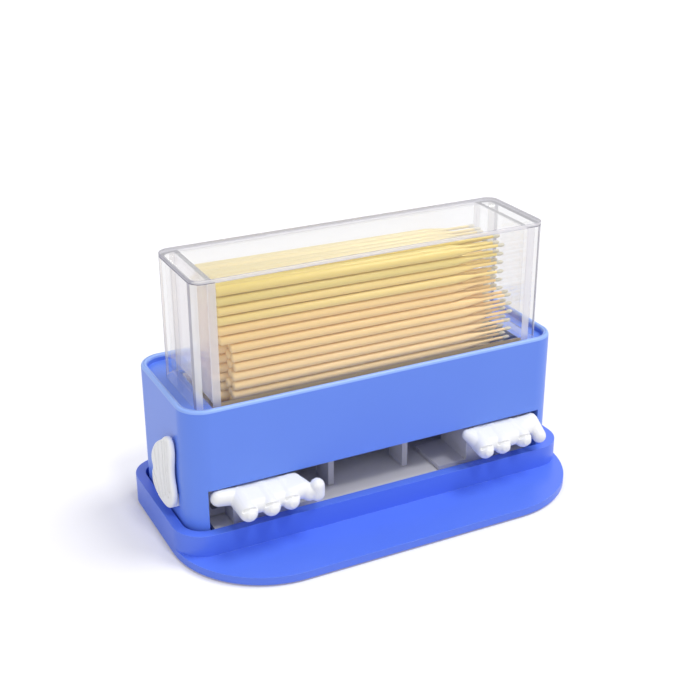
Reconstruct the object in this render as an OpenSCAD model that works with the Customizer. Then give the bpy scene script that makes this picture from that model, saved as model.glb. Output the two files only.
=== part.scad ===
// Microbrush dispenser: a clear hopper of brushes stands on a blue body; a sprung white
// carriage with two hands and two side grips brings one brush at a time to the front slot.
// Millimetres, +Z up, front towards -Y, origin on the table under the middle of the base.

/* [Brushes] */
// Length of one brush
brush_len = 100; // [90:0.5:112]
// Diameter of a brush handle
brush_d = 2.95; // [2.6:0.05:3.05]
// Diameter of the thin neck behind the tip
neck_d = 1.1; // [0.8:0.05:1.4]
// Length of the thin neck behind the tip
neck_len = 6; // [3:0.5:12]
// Length of the taper from handle to neck
taper_len = 7; // [4:0.5:14]
// Diameter of the flocked tip
tip_d = 1.7; // [1.2:0.05:1.9]
// Length of the flocked tip
tip_len = 3; // [2:0.1:4]
// Space between neighbouring brushes
brush_gap = 0.13; // [0.1:0.01:0.4]
// Columns of brushes, front to back
brush_cols = 9; // [7:1:11]
// Least room between the top row of brushes and the lid
brush_headroom = 1.5; // [0.5:0.1:3]
// Rows at the top that lose a column each towards the back
heap_rows = 2; // [0:1:5]
// Brushes queued in the feed chute
queue_count = 4; // [1:1:4]
// How far brush ends are staggered
stagger = 0.5; // [0:0.05:0.6]
// Drop of the top row at its thin end
fan_drop = 1.4; // [0:0.1:1.5]

/* [Hopper] */
// Free length of the brush chamber past the brushes
chamber_spare = 6; // [5.6:0.1:9]
// Room between the brushes and the front and back walls
chamber_side_gap = 0.12; // [0.1:0.01:0.6]
// Gap between a brush's thick end and the partition
end_gap = 0.6; // [0.3:0.05:0.8]
// Wall of the clear box
hopper_wall = 1.8; // [1.4:0.1:2.2]
// Thickness of the two partitions
partition_t = 1.6; // [1.2:0.1:2]
// Width of each empty end pocket
pocket_w = 3.7; // [3:0.1:6]
// Height of the clear box above the deck
hopper_h = 39.9; // [30:0.1:50]
// Outer corner radius of the clear box
hopper_r = 4; // [2.5:0.1:6]
// Height of the funnel under the chamber
funnel_h = 13.6; // [12:0.1:18]
// Level at which the funnel starts above the deck
funnel_rise = 1; // [0.5:0.1:2]
// Wall of the funnel and of the pocket floors
funnel_t = 1.6; // [1.2:0.1:2]
// Thickness of the lid
lid_t = 1.2; // [1:0.1:3]
// Depth of the two lips that hold the lid in the end pockets
lid_lip_h = 1.6; // [0.8:0.1:3]
// Play between the lid's lips and the pocket walls
lid_play = 0.3; // [0.2:0.05:0.5]

/* [Body] */
// Wall of the body shell
body_wall = 2; // [1.6:0.1:2.6]
// Outer corner radius of the body
body_r = 8.2; // [6:0.1:9]
// Deck in front of the hopper
deck_front = 1.5; // [1:0.1:4]
// Deck behind the hopper
deck_back = 9.6; // [8:0.1:16]
// Deck at each end of the hopper
deck_end = 3.6; // [3:0.1:8]
// Thickness of the deck
deck_t = 2; // [1.8:0.1:3]
// Height of the body's edge above the deck
deck_sink = 2.2; // [1:0.1:5]
// Play between the funnel and the deck opening
deck_play = 0.4; // [0.3:0.05:0.6]
// Distance of the slot's ends from the body's ends
slot_inset = 6.1; // [6:0.1:7.5]
// Outer diameter of the corner screw bosses
boss_d = 5.6; // [5:0.1:6]
// Height of the corner screw bosses
boss_h = 9; // [8:0.1:9.5]

/* [Base] */
// Height of the rubber feet below the base plate
foot_h = 0.7; // [0.5:0.05:1.5]
// Depth to which the feet sit in the base plate
foot_sink = 0.5; // [0.3:0.05:0.8]
// Diameter of a foot
foot_d = 10; // [8:0.5:12]
// Radial clearance of a foot in its recess
foot_play = 0.05; // [0.02:0.01:0.1]
// Thickness of the base plate and apron
plate_t = 2.5; // [2.4:0.1:4]
// Height of the rim above the base plate
rim_h = 7.2; // [6:0.1:9]
// Wall of the rim
rim_t = 3.2; // [2.4:0.1:4]
// Groove between rim and body at the ends
groove_end = 0.6; // [0.4:0.05:1.5]
// Groove between rim and body at front and back
groove_side = 0.45; // [0.3:0.05:1.5]
// Outer corner radius of the rim
rim_r = 10; // [8:0.1:12]
// Reach of the apron in front of the rim
apron_reach = 20.3; // [14:0.1:30]
// Front corner radius of the apron
apron_r = 31; // [20:0.5:36]

/* [Floor] */
// Height of the floor's underside above the base plate
floor_rise = 3.3; // [3:0.1:4.5]
// Thickness of the floor
floor_t = 1.5; // [1.2:0.1:2]
// Gap between the floor's edges and the body
floor_play = 0.3; // [0.2:0.05:0.6]
// Diameter of the floor's legs
leg_d = 6.5; // [6:0.1:8]
// Distance of the legs inside the floor's ends
leg_end_inset = 24; // [16:0.5:32]
// Distance of the legs inside the front and back walls
leg_side_inset = 9.6; // [8:0.1:12]

/* [Carriage] */
// Travel of the carriage
travel = 11; // [10.5:0.1:11.5]
// Running gap above the floor and under the chute
run_gap = 0.3; // [0.3:0.05:0.5]
// Height of the carriage
carriage_h = 14.9; // [14:0.1:16]
// Gap between the carriage's top and the slot's upper edge
slot_gap = 0.2; // [0.2:0.05:0.6]
// Thickness of the shutter plate
shutter_t = 2; // [1.6:0.1:2.4]
// Width of the groove that carries one brush
cradle_w = 3.9; // [3.6:0.05:4.2]
// Thickness of the lip in front of the groove
lip_t = 1.5; // [1.2:0.1:1.8]
// Drop of the lip below the shutter's top
lip_drop = 0.8; // [0.4:0.1:1.2]
// Gap between the carriage and the front wall
front_gap = 0.8; // [0.6:0.05:1.2]
// Inner edge of each arm, from the middle
arm_in = 33; // [31:0.1:34]
// Distance of each arm's outer edge inside the chamber's end
arm_inset = 2; // [1.5:0.1:2.5]
// Wall of the hollow arms
arm_wall = 2; // [1.6:0.1:2.6]
// Depth of the arms, front to back
arm_d = 16.4; // [15:0.1:17]
// Width of the flange along each arm's foot
flange_w = 10.5; // [8:0.1:12]
// Thickness of the flange
flange_t = 1.3; // [1:0.1:2]
// Place of the two middle ribs, from the middle
rib_x = 13.7; // [10:0.1:18]
// Thickness of the middle ribs
rib_t = 2; // [1.6:0.1:2.6]
// Depth of the middle ribs in front of the crossbar
rib_d = 8.7; // [6:0.1:10]
// Depth of the crossbar, front to back
crossbar_d = 6; // [5:0.1:7]
// Height of the crossbar
crossbar_h = 7.2; // [6:0.1:8]
// Length of the shutter behind the crossbar
shutter_tail = 5; // [3:0.1:6]
// Width of the end blocks that slide on the rods
block_w = 7.2; // [6.8:0.1:7.4]
// Depth of the end blocks, front to back
block_d = 15; // [14:0.1:16]
// Height of the end blocks
block_h = 11.2; // [11:0.1:12]

/* [Guides] */
// Diameter of the guide rods
rod_d = 3; // [2.5:0.1:3.2]
// Radial clearance of the rods in the end blocks
rod_play = 0.06; // [0.03:0.01:0.1]
// Height of the rods above the carriage's underside
rod_rise = 3.7; // [3.4:0.1:4.2]
// Distance of the rods from the arms
rod_inset = 3.3; // [3.2:0.1:3.6]
// Reach of the rods into the end blocks at rest
rod_engage = 8; // [6:0.1:10]
// Depth of the rear rod supports
support_d = 3.2; // [2.6:0.1:3.6]
// Width of the rear rod supports
support_w = 5; // [4.6:0.1:5.4]
// Wall above the rod in its support
support_top = 1.6; // [1.2:0.1:2.2]
// Wire of the return springs
wire_d = 0.5; // [0.4:0.05:0.6]
// Mean diameter of the return springs
spring_d = 4.5; // [4.3:0.05:4.6]
// Gap at each end of a return spring
spring_slack = 0.05; // [0.02:0.01:0.2]
// Turns of a return spring
spring_turns = 5; // [3:1:6]
// Thickness of the spring washers
washer_t = 0.5; // [0.4:0.05:0.8]
// Outer diameter of the spring washers
washer_d = 5.4; // [5.2:0.1:5.8]

/* [Hands] */
// Radius of the fingers
finger_r = 3.5; // [3.2:0.05:3.7]
// Radius of the fingertips
fingertip_r = 3.2; // [2.8:0.05:3.5]
// Distance between neighbouring fingers
finger_pitch = 6.9; // [6.6:0.05:7.2]
// Distance of the first finger's middle inside the arm's outer edge
index_inset = 1.1; // [0:0.1:1.6]
// Reach of the long fingers in front of the body
finger_reach = 10.9; // [9:0.1:13]
// Shortfall of the finger next to the thumb
short_by = 0.9; // [0:0.1:2]
// Shortfall of the left hand's little finger
left_little_by = 2.4; // [0:0.1:4]
// Shortfall of the right hand's little finger
right_little_by = 0.5; // [0:0.1:4]
// Droop of the fingertips
finger_droop = 0.2; // [0:0.1:1.2]
// Gap between hands and the slot's upper edge
hand_gap = 0.5; // [0.4:0.05:0.8]
// Radius of the thumbs
thumb_r = 2.6; // [2.4:0.05:3]
// Gap between a thumb's tip and the end of the slot
thumb_gap = 0.5; // [0.4:0.05:1.2]
// How far a thumb's tip turns forwards
thumb_turn = 0.7; // [0:0.1:4]
// Distance of a thumb's root from the middle of the finger next to it
thumb_root = 1; // [0:0.1:2]
// Reach of the palm in front of the body
palm_reach = 1; // [0.5:0.1:3]
// Height of the wrist block
wrist_h = 8; // [7:0.1:9]
// Diameter of the pegs that hold a hand
peg_d = 4; // [3.5:0.1:4.4]
// Wall above the pegs in the arms
peg_cover = 0.8; // [0.5:0.1:1.5]
// Distance of the pegs inside the arm's edges
peg_inset = 4; // [3.2:0.1:6]
// Length of the pegs
peg_len = 5; // [4:0.1:6]
// Room past the end of a peg
peg_room = 0.3; // [0.1:0.05:0.5]
// Radial clearance of pegs and stems in their seats
seat_play = 0.05; // [0.02:0.01:0.1]

/* [Grips] */
// Width of a grip, front to back
grip_w = 15; // [13:0.1:17]
// Height of a grip
grip_h = 24; // [20:0.1:26]
// Fall of the grip's top towards the back
grip_slant = 8.5; // [2:0.1:9]
// Gap between the grip's lower end and the rim
grip_lift = 3.6; // [1.5:0.1:5]
// Distance that a grip stands off the wall
grip_off = 0.4; // [0.3:0.05:0.6]
// How far a grip stands proud of its backing
grip_ridge = 2.2; // [1.6:0.1:2.6]
// Thickness of the grip's backing
grip_back = 1.4; // [1:0.1:1.8]
// Flutes across a grip
grip_flutes = 5; // [4:1:6]
// How far neighbouring flutes run into each other
flute_lap = 0.7; // [0.4:0.1:1]
// Rise of the outermost flutes' lower ends
grip_round = 3; // [1:0.1:5]
// Width of the stem behind a grip
stem_w = 5; // [4.4:0.1:5.6]
// Height of the stem
stem_h = 4; // [3.5:0.1:4.4]
// Distance of the stem behind the grip's front edge
stem_inset = 1; // [0.5:0.1:2]
// Wall above the stem in the end block
stem_cover = 0.9; // [0.8:0.1:1.5]
// Reach of a grip in front of its end block
grip_ahead = 0.5; // [0:0.1:1]
// Depth of the stem's seat in the end block
stem_seat = 5; // [4:0.1:6]
// Gap at the end of the stem's seat
stem_end_gap = 0.2; // [0.1:0.05:0.4]
// Room round the stem in the body's side slot
stem_room = 0.35; // [0.3:0.05:0.6]

/* [Chute] */
// Width of the single-file channel
channel_w = 3.9; // [3.6:0.05:4.2]
// Wall of the chute
chute_wall = 1.5; // [1.2:0.1:1.8]
// Height of the chute
chute_h = 11.2; // [10.9:0.1:13]
// Gap under the chute, above the carriage
chute_gap = 0.6; // [0.5:0.05:0.9]
// Gap between the funnel's outlet and the chute
outlet_gap = 0.4; // [0.3:0.05:0.8]
// Diameter of the posts under the deck that carry the chute
post_d = 4.6; // [4.2:0.1:5]
// Distance of the posts from the channel, front and back
post_y = 6; // [5:0.1:7]
// Gap between the posts and the deck opening
post_gap = 0.7; // [0.5:0.1:1]

/* [Screws] */
// Diameter of the screw shanks
screw_d = 2.2; // [2:0.05:2.4]
// Diameter of the screw heads
screw_head_d = 4.2; // [3.8:0.1:4.4]
// Height of the screw heads
screw_head_h = 1.2; // [1:0.05:1.4]
// Radial clearance round shanks and heads
screw_play = 0.1; // [0.05:0.01:0.2]
// Depth to which the screws reach past the plate they hold
screw_bite = 5; // [3:0.1:5.5]
// Depth of the screw heads below the faces that they sink into
head_sink = 0.15; // [0.1:0.01:0.3]
// Room past the end of a screw
screw_room = 0.5; // [0.3:0.1:0.8]
// Length of the cross in a screw head
cross_len = 2.6; // [2:0.1:3.2]
// Width of the cross
cross_w = 0.5; // [0.4:0.05:0.7]
// Depth of the cross
cross_depth = 0.7; // [0.4:0.05:0.8]

/* [Hidden] */

$fn = 48;
// Overlap of cutting tools past the faces that they cut
cut = 1;

// Widths and depths, from the brushes outwards
brush_pitch = brush_d + brush_gap;
chamber_w = brush_len + chamber_spare;
chamber_d = brush_cols * brush_pitch + 2 * chamber_side_gap;
partition_out = chamber_w / 2 + partition_t;
hopper_w = 2 * (partition_out + pocket_w + hopper_wall);
hopper_d = chamber_d + 2 * hopper_wall;
body_w = hopper_w + 2 * (deck_end + body_wall);
body_d = hopper_d + deck_front + deck_back + 2 * body_wall;
base_w = body_w + 2 * (groove_end + rim_t);
rim_d = body_d + 2 * (groove_side + rim_t);
base_d = rim_d + apron_reach;

// Places along Y, with the body's middle at zero
body_y = base_d / 2 - rim_d / 2;
body_front = -body_d / 2;
body_back = body_d / 2;
wall_in_front = body_front + body_wall;
wall_in_back = body_back - body_wall;
hopper_front = wall_in_front + deck_front;
hopper_back = hopper_front + hopper_d;
chamber_front = hopper_front + hopper_wall;
chamber_back = hopper_back - hopper_wall;
rim_front = -rim_d / 2;
apron_front = rim_front - apron_reach;
carriage_front = wall_in_front + front_gap;
cradle_front = carriage_front + lip_t;
cradle_back = cradle_front + cradle_w;
chute_y = (cradle_front + cradle_back) / 2 + travel;
crossbar_front = carriage_front + arm_d;
crossbar_back = crossbar_front + crossbar_d;

// Levels above the table
plate_z = foot_h + plate_t;
rim_z = plate_z + rim_h;
floor_z = plate_z + floor_rise + floor_t;
carriage_z = floor_z + run_gap;
carriage_top = carriage_z + carriage_h;
shutter_z = carriage_top - shutter_t;
slot_z = carriage_top + slot_gap;
chute_z = carriage_top + chute_gap;
chute_top = chute_z + chute_h;
outlet_z = chute_top + outlet_gap;
funnel_z = outlet_z + funnel_h;
deck_z = funnel_z - funnel_rise;
deck_under = deck_z - deck_t;
body_top = deck_z + deck_sink;
hopper_top = deck_z + hopper_h;

// Arms, end blocks and the rods that they slide on
arm_out = chamber_w / 2 - arm_inset;
index_x = arm_out - index_inset;
block_out = arm_out + block_w;
rod_x = arm_out + rod_inset;
rod_z = carriage_z + rod_rise;
rod_front = crossbar_back - rod_engage;
support_front = wall_in_back - floor_play - support_d;
block_front = crossbar_back - block_d;
floor_half = rod_x + support_w / 2 + floor_play;

// Grips and their stems
grip_in = body_w / 2 + grip_off;
grip_front = block_front - grip_ahead;
stem_y = grip_front + stem_inset + stem_w / 2;
stem_z = carriage_z + block_h - stem_h / 2 - stem_cover;
grip_z = rim_z + grip_lift;

// Screws and feet
boss_x = body_w / 2 - body_wall - boss_d / 2;
boss_y = body_d / 2 - body_wall - boss_d / 2;
leg_x = floor_half - leg_end_inset;
leg_y = wall_in_back - leg_side_inset;
post_x = partition_out + deck_play + post_gap + post_d / 2;
foot_x = body_w / 2 - foot_d - boss_d;
foot_front = apron_front + foot_d;

// The least gap between neighbouring turns of a return spring, measured on its centreline
spring_front = crossbar_back + washer_t + spring_slack;
spring_len = support_front - spring_slack - spring_front;
spring_steps = 8;
spring_rings = spring_turns * spring_steps;
function spring_at(i) =
    let (turn = 360 * i / spring_steps)
    [
        spring_d / 2 * cos(turn),
        spring_front + wire_d / 2 + (spring_len - wire_d) * i / spring_rings,
        spring_d / 2 * sin(turn)
    ];
spring_gap = min([for (i = [spring_steps:spring_rings]) norm(spring_at(i) - spring_at(i - spring_steps))]) - wire_d;
echo(spring_gap_mm = spring_gap);

// Helpers

module at_body() {
    translate([0, body_y, 0]) children();
}

module both_sides() {
    for (side = [0, 1]) mirror([side, 0, 0]) children();
}

module left_side() {
    mirror([1, 0, 0]) children();
}

// A box from its low corner to its high corner
module block(low, high) {
    translate(low) cube(high - low);
}

// A rectangle round the middle of X, with one corner radius in front and one behind
module rounded_plate(width, front, back, front_r, back_r) {
    for (side = [-1, 1]) {
        translate([side * (width / 2 - front_r), front + front_r]) circle(front_r);
        translate([side * (width / 2 - back_r), back - back_r]) circle(back_r);
    }
    translate([-width / 2, front + front_r]) square([width, back - back_r - front - front_r]);
    translate([front_r - width / 2, front]) square([width - 2 * front_r, front_r]);
    translate([back_r - width / 2, back - back_r]) square([width - 2 * back_r, back_r]);
}

module rounded_block(width, front, back, r, low, high) {
    translate([0, 0, low]) linear_extrude(high - low) rounded_plate(width, front, back, r, r);
}

// A screw whose head rests at the origin and whose shank points up
module screw(reach) {
    difference() {
        union() {
            translate([0, 0, -screw_head_h]) cylinder(d = screw_head_d, h = screw_head_h);
            cylinder(d = screw_d, h = reach);
        }
        for (turn = [0, 90]) rotate([0, 0, turn])
            block([-cross_len / 2, -cross_w / 2, -screw_head_h - cut],
                [cross_len / 2, cross_w / 2, cross_depth - screw_head_h]);
    }
}

// The hole for a screw head and shank, from below the head to the shank's end
module screw_hole(reach) {
    translate([0, 0, -screw_head_h - cut])
        cylinder(d = screw_head_d + 2 * screw_play, h = screw_head_h + cut);
    cylinder(d = screw_d + 2 * screw_play, h = reach);
}

module at_corners(x, y) {
    for (side = [-1, 1], end = [-1, 1]) translate([side * x, end * y, 0]) children();
}

module at_feet() {
    for (side = [-1, 1], y = [foot_front, boss_y]) translate([side * foot_x, y, 0]) children();
}

// Base

// Level on which the heads of the base's screws rest
head_seat_z = foot_h + screw_head_h + head_sink;

module base_tray() {
    color([0.36, 0.5, 0.93]) at_body() difference() {
        union() {
            translate([0, 0, foot_h]) linear_extrude(plate_t)
                rounded_plate(base_w, apron_front, rim_d / 2, apron_r, rim_r);
            difference() {
                rounded_block(base_w, rim_front, rim_d / 2, rim_r, plate_z - plate_t / 2, rim_z);
                rounded_block(base_w - 2 * rim_t, rim_front + rim_t, rim_d / 2 - rim_t,
                    rim_r - rim_t, plate_z, rim_z + cut);
            }
        }
        at_feet() translate([0, 0, foot_h - cut]) cylinder(d = foot_d + 2 * foot_play, h = foot_sink + cut);
        at_corners(boss_x, boss_y) translate([0, 0, head_seat_z]) screw_hole(plate_t + cut);
        at_corners(leg_x, leg_y) translate([0, 0, head_seat_z]) screw_hole(plate_t + cut);
    }
}

module rubber_feet() {
    color([0.25, 0.26, 0.3]) at_body() at_feet() cylinder(d = foot_d, h = foot_h + foot_sink);
}

module body_screws() {
    color("silver") at_body() at_corners(boss_x, boss_y) translate([0, 0, head_seat_z])
        screw(plate_z - head_seat_z + screw_bite);
}

module floor_screws() {
    color("silver") at_body() at_corners(leg_x, leg_y) translate([0, 0, head_seat_z])
        screw(plate_z - head_seat_z + floor_rise);
}

// Body

module body_shell() {
    slot_half = body_w / 2 - slot_inset;
    stem_low = stem_z - stem_h / 2 - stem_room;
    stem_high = stem_z + stem_h / 2 + stem_room;
    color([0.36, 0.5, 0.93]) at_body() difference() {
        union() {
            difference() {
                rounded_block(body_w, body_front, body_back, body_r, plate_z, body_top);
                rounded_block(body_w - 2 * body_wall, wall_in_front, wall_in_back,
                    body_r - body_wall, plate_z - cut, deck_under);
                rounded_block(body_w - 2 * body_wall, wall_in_front, wall_in_back,
                    body_r - body_wall, deck_z, body_top + cut);
            }
            at_corners(boss_x, boss_y) translate([0, 0, plate_z]) cylinder(d = boss_d, h = boss_h);
            at_posts(chute_top) cylinder(d = post_d, h = deck_under + deck_t / 2 - chute_top);
        }
        // Opening for the funnel
        block([-partition_out - deck_play, chamber_front - deck_play, deck_under - cut],
            [partition_out + deck_play, chamber_back + deck_play, deck_z + cut]);
        // Front slot
        block([-slot_half, body_front - cut, floor_z],
            [slot_half, wall_in_front + cut, slot_z]);
        // Side slots for the grips' stems
        both_sides() block(
            [body_w / 2 - body_wall - cut, stem_y - stem_w / 2 - stem_room, stem_low],
            [body_w / 2 + cut, stem_y + stem_w / 2 + travel + stem_room, stem_high]);
        at_corners(boss_x, boss_y) translate([0, 0, head_seat_z])
            screw_hole(plate_z - head_seat_z + screw_bite + screw_room);
        at_posts(chute_top - cut)
            cylinder(d = screw_d + 2 * screw_play, h = cut + screw_bite + screw_room);
    }
}

// Floor and guides

module floor_tray() {
    color([0.93, 0.93, 0.95]) at_body() difference() {
        union() {
            block([-floor_half, wall_in_front + floor_play, plate_z + floor_rise],
                [floor_half, wall_in_back - floor_play, floor_z]);
            at_corners(leg_x, leg_y) translate([0, 0, plate_z])
                cylinder(d = leg_d, h = floor_rise + floor_t / 2);
            both_sides() block([rod_x - support_w / 2, support_front, floor_z - floor_t / 2],
                [rod_x + support_w / 2, support_front + support_d, rod_z + rod_d / 2 + support_top]);
        }
        at_corners(leg_x, leg_y) translate([0, 0, plate_z - cut])
            cylinder(d = screw_d + 2 * screw_play, h = floor_rise + cut + screw_room);
        both_sides() translate([rod_x, support_front - cut, rod_z]) rotate([-90, 0, 0])
            cylinder(d = rod_d + 2 * seat_play, h = support_d + 2 * cut);
    }
}

module guide_rod() {
    color("lightgray") translate([rod_x, rod_front, rod_z]) rotate([-90, 0, 0])
        cylinder(d = rod_d, h = support_front + support_d - rod_front);
}

module left_guide_rod() {
    at_body() left_side() guide_rod();
}

module right_guide_rod() {
    at_body() guide_rod();
}

// A tube of round section swept along a list of points, closed at both ends
module coil_tube(points, outward, r, sides) {
    rings = len(points);
    corners = [
        for (i = [0:rings - 1], k = [0:sides - 1])
            points[i] + r * (cos(360 * k / sides) * outward[i] + sin(360 * k / sides) * [0, 1, 0])
    ];
    walls = [
        for (i = [0:rings - 2], k = [0:sides - 1])
            let (a = i * sides + k, b = i * sides + (k + 1) % sides)
            each [[a, a + sides, b + sides], [a, b + sides, b]]
    ];
    first = [for (k = [1:sides - 2]) [0, k, k + 1]];
    last_ring = (rings - 1) * sides;
    last = [for (k = [1:sides - 2]) [last_ring, last_ring + k + 1, last_ring + k]];
    polyhedron(corners, concat(walls, first, last));
}

module return_spring() {
    points = [for (i = [0:spring_rings]) spring_at(i)];
    outward = [for (i = [0:spring_rings]) [cos(360 * i / spring_steps), 0, sin(360 * i / spring_steps)]];
    color("silver") translate([rod_x, 0, rod_z]) coil_tube(points, outward, wire_d / 2, 6);
}

module left_return_spring() {
    at_body() left_side() return_spring();
}

module right_return_spring() {
    at_body() return_spring();
}

module spring_washers() {
    color("silver") at_body() both_sides() translate([rod_x, crossbar_back, rod_z]) rotate([-90, 0, 0])
        difference() {
            cylinder(d = washer_d, h = washer_t);
            translate([0, 0, -cut]) cylinder(d = rod_d + 2 * rod_play, h = washer_t + 2 * cut);
        }
}

// Chute and hopper

module at_posts(z) {
    for (side = [-1, 1], end = [-1, 1])
        translate([side * post_x, chute_y + end * post_y, z]) children();
}

module feed_chute() {
    outer = channel_w / 2 + chute_wall;
    flange_half = post_y + post_d / 2;
    color([0.93, 0.93, 0.95]) at_body() difference() {
        union() {
            block([-partition_out, chute_y - outer, chute_z], [partition_out, chute_y + outer, chute_top]);
            both_sides() block([partition_out - cut, chute_y - flange_half, chute_top - chute_wall],
                [post_x + post_d / 2, chute_y + flange_half, chute_top]);
        }
        block([-chamber_w / 2, chute_y - channel_w / 2, chute_z - cut],
            [chamber_w / 2, chute_y + channel_w / 2, chute_top + cut]);
        at_posts(chute_top - chute_wall - cut)
            cylinder(d = screw_d + 2 * screw_play, h = chute_wall + 2 * cut);
    }
}

module chute_screws() {
    color("silver") at_body() at_posts(chute_top - chute_wall) screw(chute_wall + screw_bite);
}

// The funnel's cross-section, from the chamber's floor down to the outlet, grown by a wall
module funnel_section(wall) {
    polygon([
        [chamber_front - wall, funnel_z],
        [chute_y - channel_w / 2 - wall, outlet_z],
        [chute_y + channel_w / 2 + wall, outlet_z],
        [chamber_back + wall, funnel_z]
    ]);
}

module along_x(half) {
    translate([-half, 0, 0]) rotate([90, 0, 90]) linear_extrude(2 * half) children();
}

module hopper() {
    color([0.9, 0.92, 0.97, 0.35]) at_body() difference() {
        union() {
            rounded_block(hopper_w, hopper_front, hopper_back, hopper_r, deck_z, hopper_top);
            intersection() {
                along_x(partition_out) funnel_section(funnel_t);
                block([-partition_out, chamber_front, outlet_z], [partition_out, chamber_back, deck_z + cut]);
            }
        }
        // Brush chamber
        block([-chamber_w / 2, chamber_front, funnel_z], [chamber_w / 2, chamber_back, hopper_top + cut]);
        along_x(chamber_w / 2) funnel_section(0);
        block([-chamber_w / 2, chute_y - channel_w / 2, outlet_z - cut],
            [chamber_w / 2, chute_y + channel_w / 2, outlet_z + cut]);
        // End pockets
        both_sides() intersection() {
            rounded_block(hopper_w - 2 * hopper_wall, chamber_front, chamber_back,
                hopper_r - hopper_wall, deck_z + funnel_t, hopper_top + cut);
            block([partition_out, chamber_front - cut, deck_z], [hopper_w, chamber_back + cut, hopper_top + 2 * cut]);
        }
    }
}

module hopper_lid() {
    color([0.9, 0.92, 0.97, 0.35]) at_body() {
        rounded_block(hopper_w, hopper_front, hopper_back, hopper_r, hopper_top, hopper_top + lid_t);
        both_sides() block([partition_out + lid_play, chamber_front + hopper_r, hopper_top - lid_lip_h],
            [partition_out + pocket_w - lid_play, chamber_back - hopper_r, hopper_top]);
    }
}

// Brushes

handle_len = brush_len - tip_len - neck_len - taper_len;
handle_profile = [
    [0, 0], [brush_d / 2, 0], [brush_d / 2, handle_len], [neck_d / 2, handle_len + taper_len],
    [neck_d / 2, brush_len - tip_len], [0, brush_len - tip_len]
];

// Along X, with the thick end at the origin
module brush_handle() {
    rotate([0, 90, 0]) rotate_extrude() polygon(handle_profile);
}

module brush_tip() {
    translate([brush_len - tip_len, 0, 0]) rotate([0, 90, 0]) cylinder(d = tip_d, h = tip_len);
}

// Turns per row and per column that scatter the brush ends
row_turn = 137;
col_turn = 71;
function brush_x(row, col) =
    -chamber_w / 2 + end_gap + stagger * (1 + sin(row_turn * row + col_turn * col)) / 2;

// Rows above the funnel, the upper ones drooping a little at their thin ends
first_row_z = funnel_z + brush_d / 2 + brush_gap;
brush_rows = floor((hopper_top - brush_headroom - funnel_z - brush_gap) / brush_pitch);
function heap_loss(row) = max(0, row + heap_rows + 1 - brush_rows);
stack = [
    for (row = [0:brush_rows - 1], col = [0:brush_cols - 1 - heap_loss(row)])
        [
            brush_x(row, col),
            chamber_front + chamber_side_gap + brush_pitch * (col + 0.5),
            first_row_z + row * brush_pitch,
            atan(fan_drop / brush_len) * row / brush_rows
        ]
];

// Rows inside the funnel, as many brushes in each as its slopes leave room for
funnel_rows = floor((funnel_h + brush_gap) / brush_pitch);
front_slope = atan((chute_y - channel_w / 2 - chamber_front) / funnel_h);
back_slope = atan((chamber_back - chute_y - channel_w / 2) / funnel_h);
function funnel_front(z) =
    chute_y - channel_w / 2 - (z - outlet_z) * tan(front_slope) + brush_pitch / 2 / cos(front_slope);
function funnel_back(z) =
    chute_y + channel_w / 2 + (z - outlet_z) * tan(back_slope) - brush_pitch / 2 / cos(back_slope);
funnel_stack = [
    for (row = [1:funnel_rows])
        let (
            z = first_row_z - row * brush_pitch,
            low = funnel_front(z),
            room = funnel_back(z) - low,
            count = floor(room / brush_pitch) + 1
        )
        if (room >= 0)
            for (col = [0:count - 1])
                [brush_x(-row, col), low + (room - (count - 1) * brush_pitch) / 2 + col * brush_pitch, z, 0]
];

queue = [
    for (row = [0:queue_count - 1])
        [brush_x(row, brush_cols), chute_y, chute_z + brush_d / 2 + row * brush_pitch, 0]
];

// Children at each place of a list of [x, y, z, droop]
module at_places(places) {
    for (p = places) translate([p[0], p[1], p[2]]) rotate([0, p[3], 0]) children();
}

module brush_handles() {
    color([0.94, 0.8, 0.5]) at_body() at_places(concat(stack, funnel_stack)) brush_handle();
}

module brush_tips() {
    color([0.97, 0.96, 0.93]) at_body() at_places(concat(stack, funnel_stack)) brush_tip();
}

module queued_brushes() {
    color([0.94, 0.8, 0.5]) at_body() at_places(queue) {
        brush_handle();
        brush_tip();
    }
}

// Carriage, hands and grips

cradle_z = carriage_top - brush_pitch;
peg_z = cradle_z - peg_cover - seat_play - peg_d / 2;
hand_top = slot_z - hand_gap;
peg_places = [arm_in + peg_inset, arm_out - peg_inset];

module arm() {
    difference() {
        union() {
            block([arm_in, carriage_front, carriage_z], [arm_out, crossbar_front, cradle_z]);
            block([arm_in, carriage_front, cradle_z - cut], [arm_out, cradle_front, carriage_top - lip_drop]);
            block([arm_in - flange_w, carriage_front, carriage_z],
                [arm_in + cut, crossbar_front, carriage_z + flange_t]);
        }
        block([arm_in + arm_wall, carriage_front + arm_wall, carriage_z - cut],
            [arm_out - arm_wall, crossbar_front - arm_wall, cradle_z - arm_wall]);
        for (x = peg_places) translate([x, carriage_front - cut, peg_z]) rotate([-90, 0, 0])
            cylinder(d = peg_d + 2 * seat_play, h = peg_len + cut + peg_room);
    }
}

module end_block() {
    difference() {
        block([arm_out - cut, block_front, carriage_z], [block_out, crossbar_back, carriage_z + block_h]);
        translate([rod_x, block_front - cut, rod_z]) rotate([-90, 0, 0])
            cylinder(d = rod_d + 2 * rod_play, h = crossbar_back - block_front + 2 * cut);
        translate([block_out - stem_seat, stem_y, stem_z]) stem(stem_seat + cut, seat_play);
    }
}

// A grip's square stem along X, grown by a clearance
module stem(length, grow) {
    block([0, -stem_w / 2 - grow, -stem_h / 2 - grow], [length, stem_w / 2 + grow, stem_h / 2 + grow]);
}

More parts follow.
